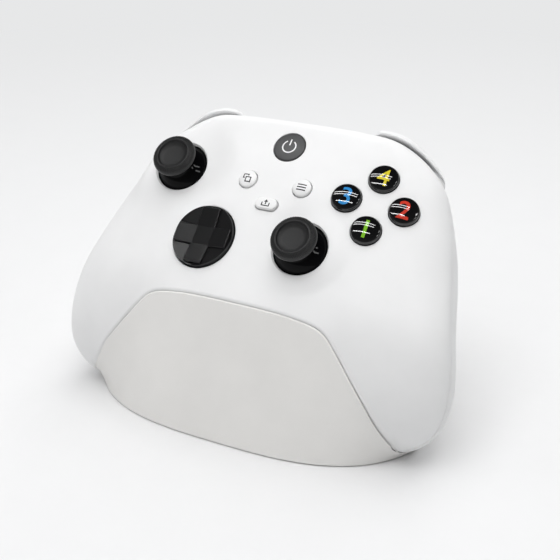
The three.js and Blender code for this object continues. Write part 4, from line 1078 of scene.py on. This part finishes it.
home_at = on_face(*HOME)
home_dome = dome_of(0.5, 0.28, HOME_R - 0.35)
cap = turned("home_skin", key_profile(HOME_R, -2.7, 0.05, home_dome, 0.35), HOME_GREY, home_at, 96)
done(cap, "home_button", "home_grey", "home_button")
sign = boolean(arc(2.25, 2.75, 62, home_at), "UNION", block("stem", (-0.25, 0.5, -2), (0.25, 3.15, 6),
                                                            SHELL, home_at))
mark = inlay("home_mark", sign, home_dome, 4.5, ICON_WHITE, home_at, 0.012)
done(mark, "home_button", "shell_white")

# %% The share key
share_at = on_face(*SHARE)
edge = [(0.6 + along, away) for along, away in quarter(0.6, 8)]
layers = [(-3.4, -0.6), (-2.7, -0.6), (-2.7, 0), *edge]
share = lofted("share_skin", [pill(SHARE_HALF, SHARE_R - i, z) for z, i in layers], KEY_WHITE, share_at)
done(share, "share_button", "shell_white", "share_button")
tray = slabs([(-1.6, -1.2, 1.6, -0.8), (-1.6, -1.2, -1.2, 0.3), (1.2, -1.2, 1.6, 0.3),
              (-0.2, -0.5, 0.2, 0.95)], share_at)
head = lofted("head", [[(-0.8, 0.5, z), (0.8, 0.5, z), (0, 1.45, z)] for z in (-2, 6)], SHELL, share_at)
sign = boolean(tray, "UNION", head)
done(inlay("share_mark", sign, lambda r: 1.2, 1.9, ICON_GREY, share_at, 0.012), "share_button", "home_grey")

# %% [markdown]
# ## Plugs along the edges
# The pairing key and the charging plug sit in the bridge at the back, and the headset jack is under
# the chin. They are small turned or lofted parts whose rounded mouths catch a thin line of light.

# %% Pairing key, charging plug and headset jack
pair_at = along_v((PAIR_U, 43.9, PAIR_W))
pair = turned("pair_skin", rounded([(0, -7.2), (2.6, -7.2), (2.6, -6.4), (1.6, -6.4), (1.6, 0.4), (0, 0.4)],
                                   [0, 0, 0, 0, 0.35, 0]), KEY_WHITE, pair_at, 40)
done(pair, "pair_button", "shell_white", "pair_button")


def oval_tube(name, at, material):
    """The plug's shell: an oval tube, closed behind."""
    outer = [(-7.5, 1.55), (-0.2, 1.55), (0, 1.4)]
    inner = [(0, 1.25), (-0.15, 1.15), (-6.5, 1.15)]
    rings = [pill(2.85, r, z, 40) for z, r in outer + inner]
    return lofted(name, rings, material, at, 40)


plug_at = along_v((0, 43.6, PLUG_W))
plug = oval_tube("usb_skin", plug_at, STEEL)
tongue = lofted("tongue", [[(x * 2.9, y * 0.32, z) for x, y in ((1, 1), (-1, 1), (-1, -1), (1, -1))]
                           for z in (-6.8, -0.9)], DULL_BLACK, plug_at)
done(plug, "controller", "steel", "usb_port")
done(tongue, "controller", "black_plastic")
jack_at = along_v((0, -32.7, JACK_W))
jack = turned("jack_skin", rounded([(1.85, 0), (3.0, 0), (3.0, 9), (1.85, 9)], [0.2, 0.25, 0, 0]),
              DULL_BLACK, jack_at, 48, ring=True)
done(jack, "controller", "black_plastic", "headset_jack")

# %% [markdown]
# ## Room for the controller
# The stand is shaped by what rests in it. The lowest point of the controller over each spot of the
# table gives a surface, and everything above that surface, let out by a small gap, is one solid. Cut
# from the stand, it leaves a cradle that the controller lifts straight out of.

# %% The lift space
def underside(u):
    """Front-to-rear lines of the controller's lower boundary, as lists of (y, z) for each u."""
    low, high = [read_off(edge, np.abs(u))[:, None] for edge in (LOWER_EDGE, UPPER_EDGE)]
    v = low + (high - low) * spread(60)
    uu = np.repeat(u[:, None], 61, 1)
    upper = on_surface(front_height, uu, v)[:, :0:-1]
    rim = on_surface(parting_height, uu, v)[:, :1]
    lower = on_surface(rear_height, uu, v)[:, 1:]
    walks = to_table(np.concatenate([upper, rim, lower], 1))[..., 1:]
    lines = []
    for walk in walks:
        forward = [walk[walk[:, 0].argmin()]]
        for p in walk[walk[:, 0].argmin():]:
            if p[0] > forward[-1][0] + 1e-6:
                forward.append(p)
        lines.append(np.array(forward))
    return lines


def lift_space(gap, across=110, deep=60, top=170):
    """Everything above the underside, let out by gap."""
    half = OUTLINE[WIDEST][0]
    shares = 0.998 * (2 * spread(across) - 1)
    lines = underside(half * shares)
    rings = []
    for i, line in enumerate(lines):
        before, after = lines[max(i - 1, 0)], lines[min(i + 1, across)]
        apart = half * (shares[min(i + 1, across)] - shares[max(i - 1, 0)])
        y = line[0][0] + (line[-1][0] - line[0][0]) * spread(deep)
        z = read_off(line, y)
        along = (read_off(line, y + 0.4) - read_off(line, y - 0.4)) / 0.8
        aside = (read_off(after, y) - read_off(before, y)) / apart
        drop = np.minimum(np.sqrt(1 + along**2 + aside**2), 4) * gap
        y = y + np.linspace(-gap, gap, deep + 1)
        x = (half + gap) * shares[i]
        rings.append([(x, y[0], top), *[(x, a, b) for a, b in zip(y, z - drop)], (x, y[-1], top)])
    return lofted("lift_space", rings, PANEL, TABLE)


# %% [markdown]
# ## The front cover
# The cover is the large smooth apron in front. Its top edge follows the controller's chin and both
# grips at a constant step, its foot follows the oval base, and straight lines join the two. A loft
# of closed sections does this, each with a rounded top edge, and the lift space trims the inside.

# %% The cover's two guide lines
BASE_HALF, BASE_DEPTH, BASE_Y = 67.3, 39.6, 2.0
COVER_THICK, COVER_PROUD, COVER_GAP, COVER_FOOT, COVER_BELLY = 2.8, 0.8, 0.6, 0.5, 1.6


def floor_reach(x):
    return BASE_DEPTH * np.sqrt(np.maximum(1 - np.abs(x / BASE_HALF) ** 3, 0))


def seam_line():
    run = np.concatenate([[0], np.cumsum(np.hypot(*np.diff(INNER_EDGE, axis=0).T))])
    inset = 2.0 * np.sqrt(np.clip(run / 14, 0, 1))
    at = INNER_EDGE - line_normals(INNER_EDGE) * inset[:, None]
    keep = [0]
    for i in range(1, len(at)):
        if at[i, 0] < at[keep[-1], 0] - 0.05:
            keep.append(i)
    at = np.maximum(at[keep], [0, -1e9])
    right = to_table(on_surface(front_height, at[:, 0], at[:, 1]))
    left = right * [-1, 1, 1]
    return np.concatenate([left, right[:-1][::-1]])


SEAM = seam_line()
print("seam points:", len(SEAM), "height in the middle", round(SEAM[len(SEAM) // 2][2], 1))


# %% The cover
def cover_sections(section):
    """Rings of the cover; section lists (share of the height, inset, drop in millimetres)."""
    ahead, behind = np.roll(SEAM, -1, 0), np.roll(SEAM, 1, 0)
    ahead[-1], behind[0] = SEAM[-1], SEAM[0]
    along = (ahead - behind)[:, :2]
    along /= np.linalg.norm(along, axis=1)[:, None]
    out = np.stack([along[:, 1], -along[:, 0]], -1)
    foot_x = SEAM[:, 0] * 1.06
    foot = np.stack([foot_x, BASE_Y - floor_reach(foot_x)], -1)
    flat = np.stack([foot[:, 0] / BASE_HALF**2, (foot[:, 1] - BASE_Y) / BASE_DEPTH**2], -1)
    flat /= np.linalg.norm(flat, axis=1)[:, None]
    edge = SEAM[:, :2] + out * COVER_PROUD
    edge_z = SEAM[:, 2] - COVER_GAP
    belly = COVER_BELLY * (SEAM[:, 0] / SEAM[0, 0]) ** 4
    rings = []
    for k in range(len(SEAM)):
        ring = []
        for share, inset, drop in section:
            tall = edge_z[k] - COVER_FOOT
            share = share - min(drop / max(tall, 1), 0.3)
            inward = -flat[k] * (1 - share) - out[k] * share
            xy = foot[k] * (1 - share) + edge[k] * share
            xy = xy + inward * (inset - belly[k] * math.sin(math.pi * share))
            ring.append((xy[0], xy[1], COVER_FOOT + tall * share))
        rings.append(ring)
    return rings


def cover_strip(name, outer, inner, edge, run_on=0):
    bend = [(1, outer + edge - along, away) for along, away in quarter(edge, 8)[::-1]]
    sides = [(share, outer, 0) for share in np.linspace(0, 0.8, 9)]
    rings = cover_sections(sides + bend + [(1, inner, 0), (0.5, inner, 0), (0, inner, 0)])
    if run_on:
        first, second = np.array(rings[0]), np.array(rings[4])
        last, before = np.array(rings[-1]), np.array(rings[-5])
        rings = [(first + (first - second) * run_on).tolist(), *rings,
                 (last + (last - before) * run_on).tolist()]
    return lofted(name, rings, PANEL, TABLE, 40)


cover = cover_strip("front_cover_skin", 0, COVER_THICK, 0.4)
boolean(cover, "DIFFERENCE", lift_space(0.3), sharp=40)
done(cover, "stand", "stand_white", "front_cover")

# %% [markdown]
# ## The stand's body
# Behind the cover stands a hollow moulding: wide at the foot, narrower at the top and leaning with the
# controller. It is lofted from side to side, one rounded section at each place, and then loses the
# lift space, the cover's own space, its hollow with four screw posts, and the openings for the
# charging block and the cable gland.

# %% The stand's block
BODY_FLOOR, STAND_WALL, DOCK_GAP, GLAND_Z = 1.5, 2.6, 1.5, 11
DRILL_R, POST_R = 1.6, 3.2
SCREWS = [(-36, -14), (36, -14), (-36, 20), (36, 20)]


def stand_block(name, wall, floor, across=120):
    """The stand's outer shape, drawn in by wall on every side but the floor."""
    half = BASE_HALF - 0.8 - wall
    rings = []
    for x in half * (2 * spread(across) - 1) * 0.995:
        top = 6 + 60 * (1 - min(abs(x) / 62, 1) ** 4) - wall
        reach = float(floor_reach(x * BASE_HALF / (half + 0.8)))
        front = BASE_Y - reach + min(COVER_THICK + COVER_GAP + 0.5 + wall, reach)
        lean = max(0.3 * (1 - (abs(x) / 52) ** 4), -0.1)
        front_top = min(front + lean * top, BASE_Y + reach * 0.3)
        rear = BASE_Y + max(reach - wall, 0.5)
        rear_top = BASE_Y + max(reach * 0.72 - wall, 0.4)
        back = [(rear + (rear_top - rear) * t**1.3, floor + (top - floor) * t)
                for t in np.linspace(0.93, 0, 14)]
        section = [(front, floor), (front_top, top), (rear_top, top), *back, (front, floor)]
        radii = [0, 1.2, 3.5, *[0] * 13, 0.8, 0]
        rings.append([(x, y, z) for y, z in rounded(section, radii, 6)[:-1]])
    return lofted(name, rings, PANEL, TABLE, 40)


def post(x, y, radius, low, high):
    return rod("post", radius, low, high, PANEL, moved(x, y), 40)


def largest(piece):
    """Keeps only the largest island, because a thin cut can leave crumbs."""
    shape = bmesh.new()
    shape.from_mesh(piece.data)
    left, islands = set(shape.verts), []
    while left:
        island, edge = set(), {next(iter(left))}
        while edge:
            island |= edge
            edge = {vert for at in edge for link in at.link_edges for vert in link.verts} - island
        left -= island
        islands.append(island)
    crumbs = sorted(islands, key=len)[:-1]
    bmesh.ops.delete(shape, geom=[vert for crumb in crumbs for vert in crumb], context="VERTS")
    shape.to_mesh(piece.data)
    shape.free()
    return len(crumbs)


# %% The stand's body
hollow = boolean(stand_block("hollow", STAND_WALL, -1, 60), "DIFFERENCE",
                 lift_space(DOCK_GAP + STAND_WALL, 50, 30), *[post(x, y, POST_R, 3.8, 90) for x, y in SCREWS])
dock = block("dock", (-15.3, -11.3, -39.3), (15.3, 3.3, -24.4), PANEL, FACE)
gland_at = moved(0, BASE_Y + BASE_DEPTH - 1.2, GLAND_Z) @ Matrix.Rotation(-math.pi / 2, 4, "X")
gland_hole = rod("gland_hole", 4.3, -15, 15, PANEL, gland_at, 48)
stand = stand_block("stand_body_skin", 0, BODY_FLOOR)
boolean(stand, "DIFFERENCE", lift_space(DOCK_GAP), hollow,
        cover_strip("clear", -4, COVER_THICK + 1.4, 0.01, 1.0), dock, gland_hole,
        *[post(x, y, DRILL_R, -8, 12) for x, y in SCREWS], sharp=40)
print("crumbs removed:", largest(stand))
done(stand, "stand", "stand_white", "stand_body")

# %% [markdown]
# ## The underside
# A flat plate closes the stand, four countersunk screws hold it, and a thin dark pad keeps it from
# sliding. Plate and pad are the same blunt oval, drawn in by different amounts. The four screws
# repeat, so a small node group puts one screw on the point it is given, turned by its own angle.

# %% Pad and plate
PAD_RUBBER = finish("pad_rubber", (0.018, 0.018, 0.019), 0.8, fine=1500, depth=0.00006, shine=0.3)


def oval(inset, z, sides=160):
    ring = []
    for a in [2 * math.pi * (k + 0.5) / sides for k in range(sides)]:
        across = math.copysign(abs(math.cos(a)) ** (2 / 3), math.cos(a))
        ring.append(((BASE_HALF - inset) * across, BASE_Y + (BASE_DEPTH - inset) * math.sin(a), z))
    return ring


pad_edge = [(0, 5.3), (0.15, 5.05), (0.3, 5), (0.9, 5), (1.1, 5.05), (1.2, 5.25)]
done(lofted("foot_pad_skin", [oval(i, z) for z, i in pad_edge], PAD_RUBBER, TABLE, 50),
     "stand", "dark_grip", "foot_pad")
plate = lofted("base_plate_skin", [oval(i, z) for z, i in ((1.5, 8.7), (1.65, 8.5), (3.5, 8.5))],
               PANEL, TABLE, 50)
boolean(plate, "DIFFERENCE", *[post(x, y, 3.0, -1, 2.5) for x, y in SCREWS],
        *[post(x, y, DRILL_R, -1, 9) for x, y in SCREWS])
done(plate, "stand", "stand_white", "base_plate")


# %% Screws
def screw_pattern():
    """One countersunk screw with a cross recess, its head at the bottom."""
    body = turned("screw", rounded([(0, 1.6), (2.6, 1.6), (2.6, 2.4), (1.25, 2.5), (1.25, 10), (0, 11)],
                                   [0, 0.35, 0.1, 0, 0, 0]), STEEL, TABLE, 40)
    bars = [block("recess", (-w, -h, 1), (w, h, 2.1), STEEL) for w, h in ((1.5, 0.28), (0.28, 1.5))]
    return boolean(body, "DIFFERENCE", *bars)


def placing_group(thing, material):
    """Puts a copy of an object on each point, turned about +Z."""
    group, start, end = new_group("placing")
    turn_by = add_input(group, "Turn", "NodeSocketFloat", 0.0)
    info = node_in(group, "GeometryNodeObjectInfo", {"Object": thing}, transform_space="ORIGINAL")
    turn = node_in(group, "ShaderNodeCombineXYZ", {"Z": start.outputs["Turn"]})
    copies = node_in(group, "GeometryNodeInstanceOnPoints", {
        "Points": start.outputs[0], "Instance": info.outputs["Geometry"], "Rotation": turn})
    finish_group(group, copies, end, material)
    return group, turn_by


pattern = screw_pattern()
PLACING, TURN_BY = placing_group(pattern, STEEL)
for i, (x, y) in enumerate(SCREWS):
    point = bpy.data.meshes.new("screw_point")
    point.from_pydata([(x * MM, y * MM, 0)], [], [])
    screw = grown(f"base_screw_{i + 1}_skin", point, PLACING, {TURN_BY: math.radians(17 + 31 * i)})
    done(screw, "stand", "steel", f"base_screw_{i + 1}")
bpy.data.objects.remove(pattern)

# %% [markdown]
# ## Charging parts
# Two spring pins stand in a black block in the cradle and press on two gold plates in the battery
# cover. The cable leaves through a gland in the back, whose rings let a cable bend without a kink.

# %% Block, pins, contacts and gland
def soft_box(name, low, high, material, at, edge):
    """A box with rounded edges."""
    return tidy(beveled(block(name, low, high, material, at), edge), 50)


holder = soft_box("contact_block_skin", (-15, -11, -39), (15, 3, BLOCK_W), DULL_BLACK, FACE, 0.6)
bores = [rod("pin_bore", 1.3, -5, 1, DULL_BLACK, FACE @ moved(side * PIN_U, PIN_V, BLOCK_W))
         for side in SIDES.values()]
done(boolean(holder, "DIFFERENCE", *bores), "stand", "black_plastic", "contact_block")
for name, side in SIDES.items():
    u = side * PIN_U
    pin = turned(f"contact_pin_{name}_skin",
                 rounded([(0, -4.6), (1, -4.6), (1, -0.4), (0.6, 0), (0, 0)], [0, 0.1, 0.25, 0.3, 0]),
                 GOLD, FACE @ moved(u, PIN_V, BLOCK_W + 1.1), 32)
    done(pin, "contact_pin_" + name, "gold", "contact_pin_" + name)
    contact = soft_box(f"charge_contact_{name}_skin", (u - 3, -9, CONTACT_W - 0.8), (u + 3, 1, CONTACT_W),
                       GOLD, FACE, 0.15)
    done(contact, "controller", "gold", "charge_contact_" + name)
steps = [(1.9, -7), (3.9, -7), (3.9, 1.2), (5.4, 1.4), (5.1, 2.4), (4.2, 2.6), (4.2, 3.0), (4.5, 3.1),
         (4.2, 3.8), (3.5, 3.9), (3.5, 4.3), (3.8, 4.4), (3.3, 5.4), (1.9, 5.5)]
gland = turned("cable_gland_skin", rounded(steps, [0, 0, 0.1] + [0.2] * 10 + [0]), DULL_BLACK, gland_at, 72,
               ring=True)
done(gland, "stand", "black_plastic", "cable_gland")

# %% [markdown]
# ## Grip texture
# The backs of both grips carry a field of tiny raised dots, so that they don't slip. Each dot is a
# flattened ball with few faces. A node group puts one on every point of a host mesh and turns it to
# the direction stored there, which is the surface's own normal.

# %% The dots' node group
def dot_group(material):
    group, start, end = new_group("dots")
    ids = {name: add_input(group, name, "NodeSocketFloat", value)
           for name, value in (("Radius", 0.0003), ("Height", 0.0001))}
    given = start.outputs
    ball = node_in(group, "GeometryNodeMeshUVSphere", {"Segments": 8, "Rings": 4, "Radius": 1.0})
    size = node_in(group, "ShaderNodeCombineXYZ",
                   {"X": given["Radius"], "Y": given["Radius"], "Z": given["Height"]})
    shaped = node_in(group, "GeometryNodeTransform", {"Geometry": ball, "Scale": size})
    up = node_in(group, "GeometryNodeInputNamedAttribute", {"Name": "up"}, data_type="FLOAT_VECTOR")
    lean = node_in(group, "FunctionNodeAlignRotationToVector", {"Vector": up}, axis="Z")
    field = node_in(group, "GeometryNodeInstanceOnPoints",
                    {"Points": given[0], "Instance": shaped, "Rotation": lean})
    finish_group(group, field, end, material)
    return group, ids


DOTS, DOT_INPUTS = dot_group(SHELL)

# %% Dots on the grips
FIELD_U, FIELD_V, DOT_STEP = (44, 74), (-56, 6), 1.2


def grip_points(side):
    """Staggered points over the back of one grip with the normals there."""
    u, v = np.meshgrid(np.arange(*FIELD_U, DOT_STEP), np.arange(*FIELD_V, DOT_STEP), indexing="ij")
    v = v + (np.arange(len(u)) % 2)[:, None] * DOT_STEP / 2
    near = [swollen(on_surface(rear_height, u + du, v + dv)) for du, dv in ((0, 0), (0.2, 0), (0, 0.2))]
    out = np.cross(near[2] - near[0], near[1] - near[0])
    out /= np.maximum(np.linalg.norm(out, axis=-1), 1e-9)[..., None]
    inside = (np.interp(v, OUTER_EDGE[::-1, 1], OUTER_EDGE[::-1, 0]) - u > 3) & (out[..., 2] < -0.35)
    inside &= (distance_to(OUTLINE, u, v) > 3) & (u - FIELD_U[0] > 0.12 * (v - FIELD_V[0]))
    return near[0][inside] * [side, 1, 1], out[inside] * [side, 1, 1]


for name, side in SIDES.items():
    points, normals = grip_points(side)
    host = bpy.data.meshes.new("dot_points")
    host.from_pydata((points * MM).tolist(), [], [])
    host.attributes.new("up", "FLOAT_VECTOR", "POINT").data.foreach_set("vector", normals.ravel())
    dots = grown(name + "_grip_dots", host, DOTS,
                 {DOT_INPUTS["Radius"]: 0.3 * MM, DOT_INPUTS["Height"]: 0.1 * MM}, FACE)
    done(dots, "controller", "shell_white")

# %% [markdown]
# ## Inside
# The pieces that nobody sees from outside keep their plain solids. They still get a real finish each,
# because they show when the battery cover or the stand is off.

# %% Finishes of the inner solids
MEMBRANE = finish("membrane_grey", (0.12, 0.12, 0.125), 0.7, fine=900, depth=0.00004)
CELL_WRAP = finish("cell_wrap", (0.02, 0.05, 0.10), 0.4, grain=0.4, fine=700)
CAST = finish("cast_weight", (0.35, 0.34, 0.33), 0.45, metal=1.0, fine=1200, depth=0.00005)
INNER = {
    STEEL: ["left_trigger_pin", "right_trigger_pin", "left_rumble_motor", "right_rumble_motor"],
    DULL_BLACK: ["left_stick_housing", "right_stick_housing", "left_stick_yoke", "right_stick_yoke",
                 "dpad_rocker"],
    KEY_WHITE: ["left_stick_lever", "right_stick_lever"],
    BOARD: ["main_board", "charge_board"],
    CAST: ["left_rumble_weight", "right_rumble_weight", "ballast_plate"],
    MEMBRANE: ["button_membrane"],
    CELL_WRAP: ["battery_pack"],
}
for material, names in INNER.items():
    for name in names:
        for place in frame["nodes"][name].material_slots:
            place.material = material
left_over = [n for n, o in frame["nodes"].items() if not o.hide_render]
print("solids kept:", len(left_over), "with a finish:", sum(len(names) for names in INNER.values()))
